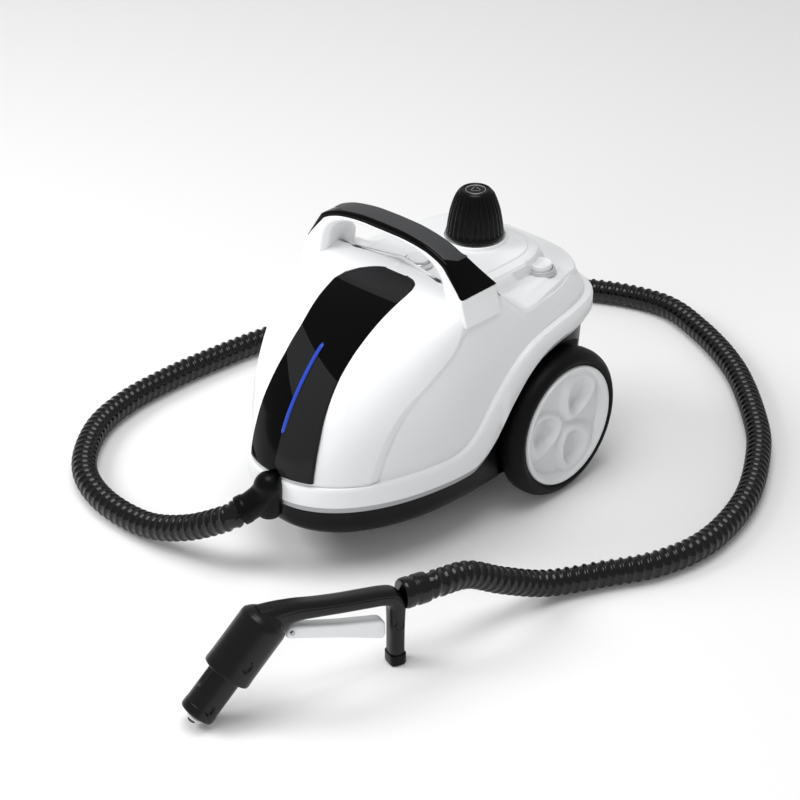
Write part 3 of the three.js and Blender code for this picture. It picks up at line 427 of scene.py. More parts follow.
RIDGE_DROP = 4.2  # how far the shell turns in over the bevel of its ridge
SHELL_HEM = 2.5  # and further in at its very edge
CREASE_LIFT = 0.8
# back and up from the top row of the shell, to where it ends under the deck
SHELL_ROLL = [(1.5, 0.3), (4, -1.4), (7, -4.2), (9.5, -7.3), (12, -11), (12.5, -14)]


def front_shell():
    """The white skin from ridge to ridge, creased beside the panel and rolled in at the top."""
    profile = evenly([(level(h)[0], h) for h in np.linspace(BAND_HIGH + 0.5, SHELL_TOP, 200)], 74)
    crease_h, crease_x = zip(*CREASE)
    grid = []
    for height in profile[:, 1]:
        limit = half_at(height, ridge_at(height))
        across = limit * np.sin(np.linspace(-math.pi / 2, math.pi / 2, 500))
        fine = np.array([(x, front_at(height, x)) for x in across])
        along = distances(fine)
        length = along[-1]
        edge = RIDGE_BEVEL
        near_edge = np.array([0, 0.4, edge * 0.5, edge - 0.6, edge, edge + 0.6])
        between = np.linspace(edge + 3, length - edge - 3, 84)
        stops = np.concatenate([near_edge, between, length - near_edge[::-1]])
        row = []
        for stop in stops:
            x, y = np.interp(stop, along, fine[:, 0]), np.interp(stop, along, fine[:, 1])
            from_edge = min(stop, length - stop)
            drop = RIDGE_DROP * max(1 - from_edge / edge, 0) + (SHELL_HEM if from_edge < 0.2 else 0)
            strength = smoothly(height, 150, 185)
            inside = smoothly(np.interp(height, crease_h, crease_x) - abs(x), -1.5, 1.5)
            lift = CREASE_LIFT * strength * inside - drop
            inward = np.array([x, 1.3 * (y - BODY_MID)])
            inward = inward / np.linalg.norm(inward)
            row.append((x + inward[0] * lift, y + inward[1] * lift, height))
        grid.append(row)
    top_row = grid[-1]
    for back, up in SHELL_ROLL:
        grid.append([(x, y + back, z + up) for x, y, z in top_row])
    return sheet_piece("front_shell_skin", grid, WHITE, 3, "front_shell", slot="white_shell", sharp=40)


# height, left edge and right edge of the black panel, whose top is clipped more on the left
PANEL_EDGES = [
    (103, -42, 42), (120, -42, 42), (145, -41, 41), (180, -37.5, 38.5), (200, -35.5, 37.5), (220, -36, 38),
    (240, -40, 40), (250, -41, 41), (254, -37, 41.5), (257, -29, 41), (259, -20, 38.5), (260.3, -12, 33),
    (261, -5, 22),
]
PANEL_CREST = 251.0  # the panel bends back above this line
PANEL_STRIP = -0.5  # x of the edge under the light strip
PANEL_CORNER = 112.5  # x and height together, at the foot of the right facet
PANEL_WEDGE = (1.118, 192.6)  # the lower edge of the left facet: x + first * height = second
PANEL_SPLIT = (0.345, 209.9)  # the split: height + first * x = second
# painted sheen: the lighter black that the panel's lit facets get
FACET_SHEEN_BLACK = (0.017, 0.017, 0.018, 1)


def paint_facet_sheen(look):
    """Paints the panel's facets a shade lighter, as painted sheen for the light that they catch: above its
    crest and below its slanting split.
    """
    nodes, links = look.node_tree.nodes, look.node_tree.links
    spots = nodes.new("ShaderNodeTexCoord")

    def beyond(across, up, least):
        """1 where across * x + up * height is over least, in millimetres."""
        reach = nodes.new("ShaderNodeVectorMath")
        reach.operation = "DOT_PRODUCT"
        reach.inputs[1].default_value = (1000 * across, 0, 1000 * up)
        links.new(spots.outputs["Object"], reach.inputs[0])
        return joined("GREATER_THAN", reach.outputs["Value"], least + across * CENTRE_X)

    def joined(rule, first, second):
        node = nodes.new("ShaderNodeMath")
        node.operation = rule
        links.new(first, node.inputs[0])
        if isinstance(second, float):
            node.inputs[1].default_value = second
        else:
            links.new(second, node.inputs[1])
        return node.outputs[0]

    right = joined("MULTIPLY", beyond(1, 0, PANEL_STRIP), beyond(1, 1, PANEL_CORNER))
    left = joined("MULTIPLY", beyond(-1, 0, -PANEL_STRIP), beyond(1, PANEL_WEDGE[0], PANEL_WEDGE[1]))
    lower = joined("MULTIPLY", beyond(-PANEL_SPLIT[0], -1, -PANEL_SPLIT[1]), joined("MAXIMUM", right, left))
    facets = joined("MAXIMUM", beyond(0, 1, PANEL_CREST), lower)
    mix = nodes.new("ShaderNodeMix")
    mix.data_type = "RGBA"
    colour = nodes["Principled BSDF"].inputs["Base Color"]
    links.new(facets, mix.inputs[MIX_SHARE])
    links.new(colour.links[0].from_socket, mix.inputs[MIX_FIRST])
    mix.inputs[MIX_SECOND].default_value = FACET_SHEEN_BLACK
    links.new(mix.outputs[MIX_RESULT], colour)


PANEL_OUT = 2.4  # how far the panel stands out from the shell
PANEL_RIM = 1.2  # width of its rounded rim


def front_panel():
    heights = np.concatenate([np.linspace(PANEL_LOW, 244, 90), np.linspace(245, PANEL_HIGH, 30)])
    heights = evenly([(level(h)[0], h) for h in heights], 120)[:, 1]
    table_h, table_left, table_right = zip(*PANEL_EDGES)
    grid = []
    for height in heights:
        left, right = np.interp(height, table_h, table_left), np.interp(height, table_h, table_right)
        row = []
        for x in np.linspace(left, right, 61):
            below = max(PANEL_SPLIT[1] - PANEL_SPLIT[0] * x - height, 0)
            rim = min(x - left, right - x, PANEL_RIM) / PANEL_RIM
            lean = min(0.012 * below, 0.8) - 0.03 * max(height - PANEL_CREST, 0)
            out = PANEL_OUT + lean - 1.6 * (1 - rim) ** 2
            row.append((x, front_at(height, x, out), height))
        grid.append(row)
    # painted sheen on the panel's facets
    paint_facet_sheen(PANEL_BLACK)
    return sheet_piece(
        "front_panel_lens", grid, PANEL_BLACK, 2.6, "front_panel", slot="panel_black", sharp=12,
    )


STRIP_LINE = [(0.4, 142), (1, 163), (1.6, 190), (1.4, 205), (1.4, 218)]  # x and height of its middle
STRIP_HALF = 2.3
STRIP_OUT = 2.9  # how far its edges stand out from the shell


def light_strip():
    """The raised strip, with round ends."""
    line = evenly(flowing(STRIP_LINE, 10), 46)
    grid = []
    for i, (x, height) in enumerate(line):
        from_end = min(i, len(line) - 1 - i) * 1.8
        half = STRIP_HALF * math.sqrt(max(1 - max(1 - from_end / 2.6, 0) ** 2, 0.02))
        row = []
        for u in np.linspace(-1, 1, 9):
            rise = STRIP_OUT + 1.8 * math.sqrt(max(1 - (u * 0.97) ** 2, 0))
            row.append((x + half * u, front_at(height, x + half * u, rise), height))
        grid.append(row)
    return sheet_piece("light_strip_lens", grid, LIGHT_BLUE, 1.0, "light_strip", slot="light_blue")


# ---------------------------------------------------------------- rear housing and bumper

HOUSING_TURN = math.atan2(26 / 190, 1)  # the direction where the row of side columns ends


def housing_foot(y):
    return max(band_heights(y)[1] - 2, 97)


def rear_housing():
    """The sides and back as upright columns, from one ridge round to the other."""
    ridge_y, ridge_h = LINE_OF_RIDGE[:, 0], LINE_OF_RIDGE[:, 1]
    out = -SIDE_INSET
    side_ys = np.concatenate([evenly(LINE_OF_RIDGE, 60)[:, 0] + 0.5, np.linspace(-116, -84, 12)])
    columns = []
    for y in side_ys:
        low = housing_foot(y)
        high = np.interp(y, ridge_y, ridge_h) + 2 if y < ridge_y[-1] else 256
        column = []
        for height in np.linspace(low, max(high, low + 0.5), 40):
            column.append((half_at(height, y, out), y, height))
        columns.append(column)
    for angle in np.linspace(HOUSING_TURN, math.pi / 2, 60):
        y = outline(BAND_HIGH, angle, out)[1]
        low = housing_foot(y)
        top = 224 + 30 * (1 - smoothly(y, -86, -50))
        columns.append([outline(height, angle, out) for height in np.linspace(low, top, 40)])
    mirrored = [[(-x, y, z) for x, y, z in column] for column in columns[-2::-1]]
    return sheet_piece(
        "rear_housing_skin", columns + mirrored, SATIN_WHITE, 3, "rear_housing", slot="white_shell",
    )


BAND_LIP = (6, 7, 8)  # the stretches of its section that turn in at the bottom, which are coloured grey as painted shade


def bumper_band():
    """A band with a shelf on top and a lip that turns in underneath, the lip coloured grey as painted shade.
    """
    grid = []
    for angle in round_angles(260):
        low, high = band_heights(outline(BAND_HIGH, angle, 3)[1])
        tall = high - low
        lip = min(8, tall * 0.3)
        section = [
            (-7, high - 0.2), (0.4, high), (2.0, high - 0.5), (3.0, high - 2.2), (3.4, high - 5),
            (3.4, low + lip + 0.8), (3.1, low + lip), (2.4, low + lip - 0.5), (-0.4, low + 0.6),
            (-1.4, low), (-5, low), (-7, low + 3),
        ]
        middle = (low + high) / 2
        row = []
        for out, height in section:
            x, y, _ = outline(middle, angle, out)
            row.append((x, y, height))
        grid.append(row)
    grid = np.array(grid)
    faces = quads(*grid.shape[:2], wrap_rows=True, wrap_columns=True)
    points = grid.reshape(-1, 3)
    band = show("bumper_band_ring", points, faces, WHITE, "bumper_band", slot="white_shell", sharp=38)
    # the in-turned lip's faces get the grey of painted shade
    band.data.materials.append(LIP_PAINTED_SHADE)
    for face in band.data.polygons:
        if face.index % grid.shape[1] in BAND_LIP:
            face.material_index = 1
    return band


# ---------------------------------------------------------------- chassis

ARCH_RADIUS = 84
ARCH_WALL = 94
CHASSIS_BOTTOM = 38
CHASSIS_ROOF = 120  # hidden under the shells
POCKET_END = 160  # beyond the side of the chassis


def chassis():
    """A closed tub that follows the band, cut away over the wheels."""
    rows = []
    for angle in round_angles(200):
        low = band_heights(outline(BAND_HIGH, angle, 0)[1])[0]
        sides = [
            (-3.5, low + 4), (-3.5, low - 1), (-4.2, low - 4), (-4.2, 54), (-5, 48), (-8, 42.5), (-13, 39.2),
            (-20, CHASSIS_BOTTOM),
        ]
        row = []
        for out, height in sides:
            x, y, _ = outline(min(max(height, 60), 150), angle, out)
            row.append((x, y, min(height, low + 4)))
        rows.append(row)
    grid = np.array(rows)
    count, wide = grid.shape[:2]
    points = list(grid.reshape(-1, 3))
    faces = quads(count, wide, wrap_rows=True)
    floor = len(points)
    points.append((0, BODY_MID, CHASSIS_BOTTOM))
    roof = len(points)
    points.append((0, BODY_MID, CHASSIS_ROOF))
    for i in range(count):
        j = (i + 1) % count
        faces.append((i * wide + wide - 1, j * wide + wide - 1, floor))
        faces.append((j * wide, i * wide, roof))
    tub = show("chassis_tub", points, faces, BLACK, "chassis_base", slot="chassis_black")
    for side in (-1, 1):
        cut_away(tub, wheel_pocket(side))
    return tub


def cut_away(piece, cutter):
    """Takes the cutter's volume out of a piece, and then drops the cutter."""
    bpy.context.collection.objects.link(cutter)
    cut = piece.modifiers.new("cut", "BOOLEAN")
    cut.object = cutter
    cut.operation = "DIFFERENCE"
    cut.solver = "EXACT"
    bpy.context.view_layer.update()
    whole = piece.evaluated_get(bpy.context.evaluated_depsgraph_get())
    mesh = bpy.data.meshes.new_from_object(whole)
    piece.modifiers.clear()
    piece.data = mesh
    bpy.data.objects.remove(cutter)
    mesh.shade_smooth()
    mesh.set_sharp_from_angle(angle=math.radians(SHARP_ANGLE))


def wheel_pocket(side):
    """The room for a wheel, used only to cut the chassis."""
    steps = 72
    points = [
        (x, ARCH_RADIUS * math.cos(angle), AXLE_Z + ARCH_RADIUS * math.sin(angle))
        for x in (side * ARCH_WALL, side * POCKET_END)
        for angle in full_turn(steps)
    ]
    return bpy.data.objects.new("pocket", clean_mesh("pocket", points, tube_faces(2, steps)))


# ---------------------------------------------------------------- deck

STEP_HALF = 60  # half width of the plateau's first step
STEP_MIDDLE = -30  # from here back the plateau is rounded
STEP_SQUARENESS = 3.2
POWER_X = middle_of("power_button")[0] - CENTRE_X
POWER_Y = middle_of("power_button")[1] - AXLE_Y
LOBE_EDGE = 225
DECK_FRONT = -114
DECK_BEVEL = 3.4  # width of the bevel round the lobes
# sizes of the U-shaped lines over the plateau and its two steps, as shares of the first step
DECK_LINES = [
    0.0, 0.4, 0.8, 0.96, 0.995, 1.005, 1.012, 1.02, 1.028, 1.05, 1.1, 1.15, 1.158, 1.166, 1.174, 1.182, 1.2,
]
# bevels short of the rim and drop below the lobe, down over the edge and in under it
DECK_EDGE = [(0.45, 1.6), (0.1, 3.2), (0, 4.4), (0, 6), (0, 15), (0.3, 15.5)]


def deck_height(outside, x, y, edge_share):
    """Height of the deck: `outside` is how far a place lies beyond the plateau's first step."""
    ramp = 9 * min(max((front_at(SHELL_TOP, x) + 26 - y) / 20, 0), 1.05) ** 2
    if outside <= 0:
        return PLATEAU_TOP + ramp
    first = 1.3 * smoothly(outside, 0.1, 1.6)
    slope = 2.0 * smoothly(outside, 1.6, 9.2)
    second = 1.5 * smoothly(outside, 9.4, 11)
    open_share = 1 - smoothly(front_at(SHELL_TOP, x) + 24 - y, 0, 16)
    shelf = PLATEAU_TOP - (first + slope + second) * open_share
    lobe = LOBE_TOP + 2 - (LOBE_TOP + 2 - LOBE_EDGE) * edge_share**2
    shoulder = 1 - smoothly(y, -88, -48)
    lobe += (PLATEAU_TOP - 2 * open_share - lobe) * shoulder
    fall = smoothly(outside, 10.5, 22)
    height = shelf + (lobe - shelf) * fall + ramp
    near_button = 1 - smoothly(math.hypot(x - POWER_X, y - POWER_Y), 14, 21)
    return height + (LOBE_TOP + 0.4 - height) * near_button * smoothly(outside, 8, 16)


def plateau_point(size, turn):
    """A point of the U-shaped line `size` times as large as the plateau's first step.
    turn runs 0..1 along its right side, 1..2 round the back, 2..3 along its left side."""
    if turn <= 1 or turn >= 2:
        share = turn if turn <= 1 else 3 - turn
        side = 1 if turn <= 1 else -1
        return side * STEP_HALF * size, DECK_FRONT + (STEP_MIDDLE - DECK_FRONT) * share
    angle = (turn - 1) * math.pi
    across, along = math.cos(angle), math.sin(angle)
    around = (abs(across) ** STEP_SQUARENESS + along**STEP_SQUARENESS) ** (1 / STEP_SQUARENESS)
    return STEP_HALF * size * across / around, STEP_MIDDLE + (STEP_HALF + 1) * size * along / around


def behind_shell(x, y):
    return x, max(y, front_at(SHELL_TOP, x) + 4)


def rear_deck():
    """Lines from the plateau's middle out over its steps, the lobes and their edge."""
    out = -SIDE_INSET + 1.6
    widest = DECK_LINES[-1]
    turns = np.concatenate([np.linspace(0, 1, 46)[:-1], np.linspace(1, 2, 110), np.linspace(2, 3, 46)[1:]])
    grid = []
    for turn in turns:
        row = []
        for size in DECK_LINES:
            x, y = behind_shell(*plateau_point(size, turn))
            row.append((x, y, deck_height((size - 1) * STEP_HALF, x, y, 0)))
        x0, y0 = behind_shell(*plateau_point(widest, turn))
        if 1 <= turn <= 2:
            rim = outline(LOBE_EDGE - 5, math.atan2(y0 - BODY_MID, x0), out)
        else:
            edge = deck_height(50, x0, y0, 1)
            rim = (math.copysign(half_at(edge, y0, out), x0), y0, edge)
        rim = np.array(rim[:2])
        start = np.array([x0, y0])
        bevel = DECK_BEVEL / np.linalg.norm(rim - start)
        for share in [*np.linspace(0, 1 - bevel, 20)[1:], 1 - bevel * 0.85]:
            x, y = start + (rim - start) * share
            beyond = (widest - 1) * STEP_HALF + share * np.linalg.norm(rim - start)
            row.append((x, y, deck_height(beyond, x, y, share)))
        edge = row[-1][2]
        for bevels, drop in DECK_EDGE:
            x, y = start + (rim - start) * (1 - bevel * bevels)
            row.append((x, y, edge - drop))
        grid.append(row)
    return sheet_piece("rear_deck_top", grid, WHITE, 2.5, "rear_deck", slot="white_shell", sharp=28)


# ---------------------------------------------------------------- handle

HANDLE_LOW, HANDLE_HIGH = box_of("handle_cover")
HANDLE_FRONT = HANDLE_LOW[1] - AXLE_Y
HANDLE_REAR = HANDLE_HIGH[1] - AXLE_Y
HANDLE_TOP = HANDLE_HIGH[2]
GRIP_DEPTH = 27  # front to back, over the middle
# x and drop below the top of the handle, along its upper face; the feet go on to the last two
ARCH = [(0, 3.5), (30, 4.5), (58, 9), (75, 15), (83, 19.6), (85.5, 22.6), (94.5, 36), (103, 49)]
FEET = [(104.8, 57), (107.6, 66), (110.4, 76)]
UNDERSIDE = [(0, 15), (30, 16), (50, 19.5), (64, 26), (73, 36), (77, 48), (79, 60), (80, 74)]


def arch_line(count, points):
    """The line of the handle's upper face from left to right, with the way out of it."""
    half = flowing(points, 14)
    line = np.vstack([half[::-1] * (-1, 1), half[1:]])
    line = evenly(line, count)
    line[:, 1] = HANDLE_TOP - line[:, 1]
    way = np.gradient(line, axis=0)
    way /= np.linalg.norm(way, axis=1)[:, None]
    return line, np.stack([-way[:, 1], way[:, 0]], 1)


def grip_rear(x):
    """y of the handle's rear edge, which sweeps back towards the feet."""
    sweep = min(max(abs(x) - 78, 0) / 25, 1) ** 1.2
    return HANDLE_FRONT + GRIP_DEPTH + (HANDLE_REAR - HANDLE_FRONT - GRIP_DEPTH) * sweep


def strap(name, section, look, stands_for, count=130, reach=(-math.inf, math.inf), **kwargs):
    """A closed section of (y, height over the upper face), a function of x, swept along the arch."""
    rings = []
    for (x, z), (up_x, up_z) in zip(*arch_line(count, ARCH)):
        if reach[0] <= x <= reach[1]:
            rings.append([(x + up_x * rise, y, z + up_z * rise) for y, rise in section(x)])
    return swept(name, rings, look, stands_for, **kwargs)


def handle_cover():
    def section(x):
        front, rear = HANDLE_FRONT + 1, grip_rear(x)
        low = -6.5 + 3.5 * smoothly(abs(x), 80, 103)
        return rounded([
            (front, low), (front + 0.5, -1.8), (front + 2.4, -0.3), (rear - 1.4, -0.3), (rear, -1.8),
            (rear, low),
        ], 1.1, 3)

    return strap("handle_cover_shell", section, GLOSS_BLACK, "handle_cover", slot="panel_black", sharp=30)


def handle_inlay():
    """The matt strip let into the cover, open to the rear edge and clipped at its right end."""
    left, right = -82, 84

    def section(x):
        clip = max((x - (right - 7)) / 7, 0) * 14 + max((left + 26 - x) / 26, 0) * 15
        rear = grip_rear(x) + 0.25
        near = min(HANDLE_FRONT + 5 + clip, rear - 1.5)
        return rounded([(near, -1.5), (near, -0.1), (near + 0.6, 0.1), (rear, 0.1), (rear, -3.2)], 0.3, 2)

    return strap(
        "handle_inlay_strip", section, INLAY_GREY, "handle_inlay", count=220, reach=(left, right),
        slot="inlay_grey", sharp=35,
    )


def handle_lower():
    """The white underside, thin over the grip and full where it runs down into the body."""
    outer, _ = arch_line(180, ARCH + FEET)
    inner, _ = arch_line(180, UNDERSIDE)
    rings = []
    for (x, z), (in_x, in_z) in zip(outer, inner):
        depth = math.hypot(in_x - x, in_z - z)
        ends = smoothly(abs(x), 80, 103)
        high = 6.2 - 3.5 * ends - 2.4 * smoothly(abs(x), 102.6, 103.4)
        front, rear = HANDLE_FRONT + 0.3, grip_rear(x) - 1.5
        section = rounded([
            (front, high), (front, depth - 4), (front + 6, depth), (rear - 6, depth), (rear, depth - 4),
            (rear, high),
        ], 2, 4)
        rings.append([
            (x + (in_x - x) * down / depth, y, z + (in_z - z) * down / depth) for y, down in section
        ])
    return swept("handle_underside", rings, WHITE, "handle_lower", slot="white_shell", sharp=40)


# ---------------------------------------------------------------- cap, collar and buttons

def filler_collar():
    top = PLATEAU_TOP + 3
    step = PLATEAU_TOP + 1.2
    low, high = box_of("filler_collar")
    rim = (high[0] - low[0]) / 2
    profile = rounded([
        (20, 238), (23.6, 238), (23.6, PLATEAU_TOP - 1), (rim + 1, PLATEAU_TOP - 1), (rim - 0.2, step),
        (rim - 1.5, top), (rim - 3, top), (rim - 3.2, step), (20, step),
    ], 0.8, 3)
    return turned(
        "filler_collar_ring", profile, WHITE, "filler_collar", (0, CAP_Y, 0), segments=96, slot="white_shell",
    )


# radius and height over the base of the ribbed cap
CAP_PROFILE = [
    (28.4, 0), (29.4, 0.8), (29.5, 2.2), (29.4, 3.6), (28.8, 4.6), (28.6, 6), (28.2, 10), (27.0, 18),
    (25.2, 27), (22.8, 35), (20.3, 41.5), (18.2, 45), (16.4, 47.2), (14.8, 48.4), (13.6, 48.9), (12.8, 48.7),
    (12.2, 48.0), (8, 47.9), (0.1, 47.9),
]
CAP_HEIGHT = CAP_PROFILE[-1][1]
CAP_RIBS = 28


def cap_shell():
    profile = evenly(flowing(CAP_PROFILE, 4), 90)
    steps = CAP_RIBS * 12
    points = []
    for angle in full_turn(steps):
        groove = (0.5 - 0.5 * math.cos(angle * CAP_RIBS)) ** 0.7
        for radius, height in profile:
            depth = 1.5 * smoothly(height, 4.4, 7.5) * (1 - smoothly(height, 44.5, 47.8))
            r = radius - depth * (1 - groove)
            points.append((r * math.cos(angle), CAP_Y + r * math.sin(angle), CAP_BASE + height))
    faces = quads(steps, len(profile), wrap_rows=True)
    return show(
        "cap_ribbed_shell", points, faces, CAP_BLACK, "cap_shell", body="cap_grip", slot="cap_black",
        sharp=60,
    )


def cap_badge():
    """A plain ring with three short bars set as a triangle in it, on top of the cap."""
    top = CAP_BASE + CAP_HEIGHT
    steps = 72
    ring = [(9.4, 0), (9.6, 0.5), (10.2, 0.5), (10.4, 0)]
    points = [
        (radius * math.cos(angle), CAP_Y + radius * math.sin(angle), top + height)
        for radius, height in ring
        for angle in full_turn(steps)
    ]
    faces = quads(len(ring), steps, wrap_columns=True)
    for turn in (25, 145, 265):
        angle, other = math.radians(turn), math.radians(turn + 98)
        start = np.array([5.2 * math.cos(angle), 5.2 * math.sin(angle)])
        end = np.array([5.2 * math.cos(other), 5.2 * math.sin(other)])
        across = np.array([-(end - start)[1], (end - start)[0]]) / np.linalg.norm(end - start) * 0.35
        base = len(points)
        for height in (0, 0.45):
            for corner in (start + across, end + across, end - across, start - across):
                points.append((corner[0], CAP_Y + corner[1], top + height))
        for side in [(4, 5, 6, 7), (0, 1, 5, 4), (1, 2, 6, 5), (2, 3, 7, 6), (3, 0, 4, 7)]:
            faces.append(tuple(base + k for k in side))
    return show("cap_ring_badge", points, faces, CHROME, "cap_badge", body="cap_grip", slot="chrome_trim")


def push_button(name, body, collar_look):
    """A round button in a ring, with a shallow dish in its top."""
    low, high = box_of(f"{name}_button")
    centre = ((low[0] + high[0]) / 2 - CENTRE_X, (low[1] + high[1]) / 2 - AXLE_Y, 0)
    radius = (high[0] - low[0]) / 2
    top = high[2]
    profile = rounded([
        (0.05, low[2]), (radius, low[2]), (radius, top), (radius - 2.2, top + 0.1), (radius - 3.4, top - 0.5),
        (0.05, top - 0.7),
    ], 0.7, 4, closed=False)
    turned(
        f"{name}_button_cap", profile, BUTTON_WHITE, f"{name}_button", centre, body=body, slot="white_button",
    )
    low, high = box_of(f"{name}_bezel")
    outer = (high[0] - low[0]) / 2
    ring = rounded([
        (radius + 0.3, low[2] - 1), (outer + 1.5, low[2] - 1), (outer, low[2] + 1.6), (outer - 0.6, high[2]),
        (radius + 0.6, high[2]),
    ], 0.9, 4)
    turned(f"{name}_button_ring", ring, collar_look, f"{name}_bezel", centre, slot="chrome_trim")


# ---------------------------------------------------------------- wheels

def tyre(side):
    word = "left" if side < 0 else "right"
    inner, outer, top = WHEEL_INNER, WHEEL_OUTER, TYRE_RADIUS
    profile = rounded([
        (RIM_RADIUS - 1, inner), (top - 4, inner), (top, inner + 6), (top, outer - 12),
        (top - 2.4, outer - 5), (top - 7.5, outer - 0.6), (RIM_RADIUS + 4, outer - 0.3),
        (RIM_RADIUS + 1.5, outer - 2.5), (RIM_RADIUS - 1, outer - 3),
    ], 3, 5)
    profile = [(radius, side * along) for radius, along in profile]
    return turned(
        f"tyre_tread_{word}", profile, TYRE_BLACK, f"tyre_{word}", (0, 0, AXLE_Z), axis="x", segments=144,
        body=f"wheel_{word}", slot="tyre_black", sharp=50,
    )


DISH_DEPTH = 13
VALLEY_DEPTH = 6.0  # between the petals and round them


def petal_depth(u, v):
    """Depth of the wheel face at a place on it: three petal-shaped dishes with raised rims."""
    dish, valley = 0.0, VALLEY_DEPTH
    for turn in (50, 170, 290):
        angle = math.radians(turn)
        along = u * math.cos(angle) + v * math.sin(angle)
        across = -u * math.sin(angle) + v * math.cos(angle)
        reach = (along - 32.5) / 22.5
        width = 19.5 + 4.5 * reach + 0.18 * across
        size = (abs(across / width) ** 2.1 + abs(reach) ** 2.1) ** (1 / 2.1)
        floor = DISH_DEPTH - 5 * smoothly(reach, -0.6, 0.9)
        dish = max(dish, floor * (1 - smoothly(size, 0.52, 0.97)))
        valley = min(valley, VALLEY_DEPTH * smoothly(size, 1.02, 1.42))
    return dish + valley


def wheel_hub(side):
    """The disc as a height field over rings, with a bright outer ring and a closed back."""
    word = "left" if side < 0 else "right"
    face = WHEEL_OUTER - 2
    steps = 168
    radii = np.concatenate([np.linspace(0.2, RIM_RADIUS - 7, 60), [RIM_RADIUS - 6]])
    back = WHEEL_INNER + 9
    rim = [
        (RIM_RADIUS - 5.4, face + 0.6), (RIM_RADIUS - 4.4, face + 2.3), (RIM_RADIUS - 2.6, face + 2.9),
        (RIM_RADIUS - 0.8, face + 2.4), (RIM_RADIUS - 0.1, face + 0.8), (RIM_RADIUS - 0.1, WHEEL_INNER + 3),
        (RIM_RADIUS - 5, WHEEL_INNER + 3), (RIM_RADIUS - 5, back), (14, back), (14, WHEEL_INNER + 2),
        (6, WHEEL_INNER + 2), (6, back), (0.2, back),
    ]
    points = []
    for angle in full_turn(steps):
        u, v = math.cos(angle), math.sin(angle)
        for radius in radii:
            fade = 1 - smoothly(radius, RIM_RADIUS - 10, RIM_RADIUS - 6.5)
            x = face - petal_depth(u * radius, v * radius) * fade
            points.append((side * x, u * radius, AXLE_Z + v * radius))
        for radius, x in rim:
            points.append((side * x, u * radius, AXLE_Z + v * radius))
    faces = quads(steps, len(radii) + len(rim), wrap_rows=True)
    return show(
        f"wheel_disc_{word}", points, faces, WHEEL_WHITE, f"wheel_hub_{word}", body=f"wheel_{word}",
        slot="wheel_white", sharp=50,
    )


# ---------------------------------------------------------------- turned pieces on any axis

def turned_along(
    name, start, way, profile, look, stands_for, segments=64, dent=None, side=(1, 0, 0), **kwargs,
):
    """A turned piece about the line from start along way. dent(distance, angle) gives how
    far its skin is pressed in at a place; angle 0 is towards side."""
    way = np.array(way, float) / np.linalg.norm(way)
    side = np.array(side, float)
    side = side - way * np.dot(side, way)
    side /= np.linalg.norm(side)
    up = np.cross(side, way)
    points = []
    for angle in full_turn(segments):
        out = math.cos(angle) * side + math.sin(angle) * up
        for radius, along in profile:
            inward = dent(along, angle) if dent and radius > 5 else 0
            points.append(np.array(start) + way * along + out * (radius - inward))
    return show(name, points, quads(segments, len(profile), wrap_rows=True), look, stands_for, **kwargs)


def filled(profile):
    """A turned profile with a point about every millimetre, so that dents show in it."""
    out = []
    for a, b in zip(profile, profile[1:]):
        count = max(int(math.dist(a, b) / 1.2), 1)
        out += [np.array(a) + (np.array(b) - np.array(a)) * k / count for k in range(count)]
    return [*out, np.array(profile[-1])]


# ---------------------------------------------------------------- hose

HOSE_RADIUS = 13
RIB_PITCH = 9.4
GROOVE_RADIUS = HOSE_RADIUS - 1.4
RIB_HEIGHT = 1.7
SOCKET_AT = (0, -298)
SOCKET_TOP = 107
SOCKET_RADIUS = 14
HOSE_START = np.array((-17.0, -322.0, 66.0))
HOSE_WAY = np.array((-23.0, -30.0, -20.0)) / np.linalg.norm((-23, -30, -20))
GUN_HOSE_Z = 73
HOSE_ROUTE = [
    (-68, -343, 35), (-120, -350, 18), (-180, -348, 14), (-232, -332, 14),
    (-271, -302, 14), (-306, -252, 14), (-322, -196, 14), (-325, -137, 14), (-322, -80, 14),
    (-312, 0, 14), (-290, 90, 14), (-255, 180, 14), (-205, 265, 14), (-128, 335, 14), (-41, 368, 14),
    (33, 349, 14), (117, 302, 14), (196, 230, 14), (240, 174, 14), (281, 95, 14), (298, 12, 14),
    (287, -53, 14), (257, -108, 14), (233, -160, 19), (221, -210, 42), (213, -250, 65),
]


def hose_line():
    to_gun = [gun((0, 45, GUN_HOSE_Z)), gun((0, 32.6, GUN_HOSE_Z))]
    return flowing([HOSE_START, HOSE_START + 13 * HOSE_WAY, *HOSE_ROUTE, *to_gun], 30)


def hose_length(line):
    return float(np.linalg.norm(np.diff(line, axis=0), axis=1).sum())


def steam_hose():
    """The corrugated hose: rings of points whose radius rises and falls as a helix."""
    line = hose_line()
    length = hose_length(line)
    line = evenly(line, int(length / 1.15))
    sides = 26
    along = np.linspace(0, length, len(line))[:, None]
    turn = np.linspace(0, 1, sides, endpoint=False)[None, :]
    wave = 0.5 + 0.5 * np.cos(2 * math.pi * (along / RIB_PITCH - turn))
    rings = tube_points(line, GROOVE_RADIUS + RIB_HEIGHT * smoothly(wave, 0.5, 0.97), sides)
    hose = swept("steam_hose_sleeve", rings, HOSE_BLACK, "steam_hose", slot="hose_black", sharp=70)
    return hose, line, length


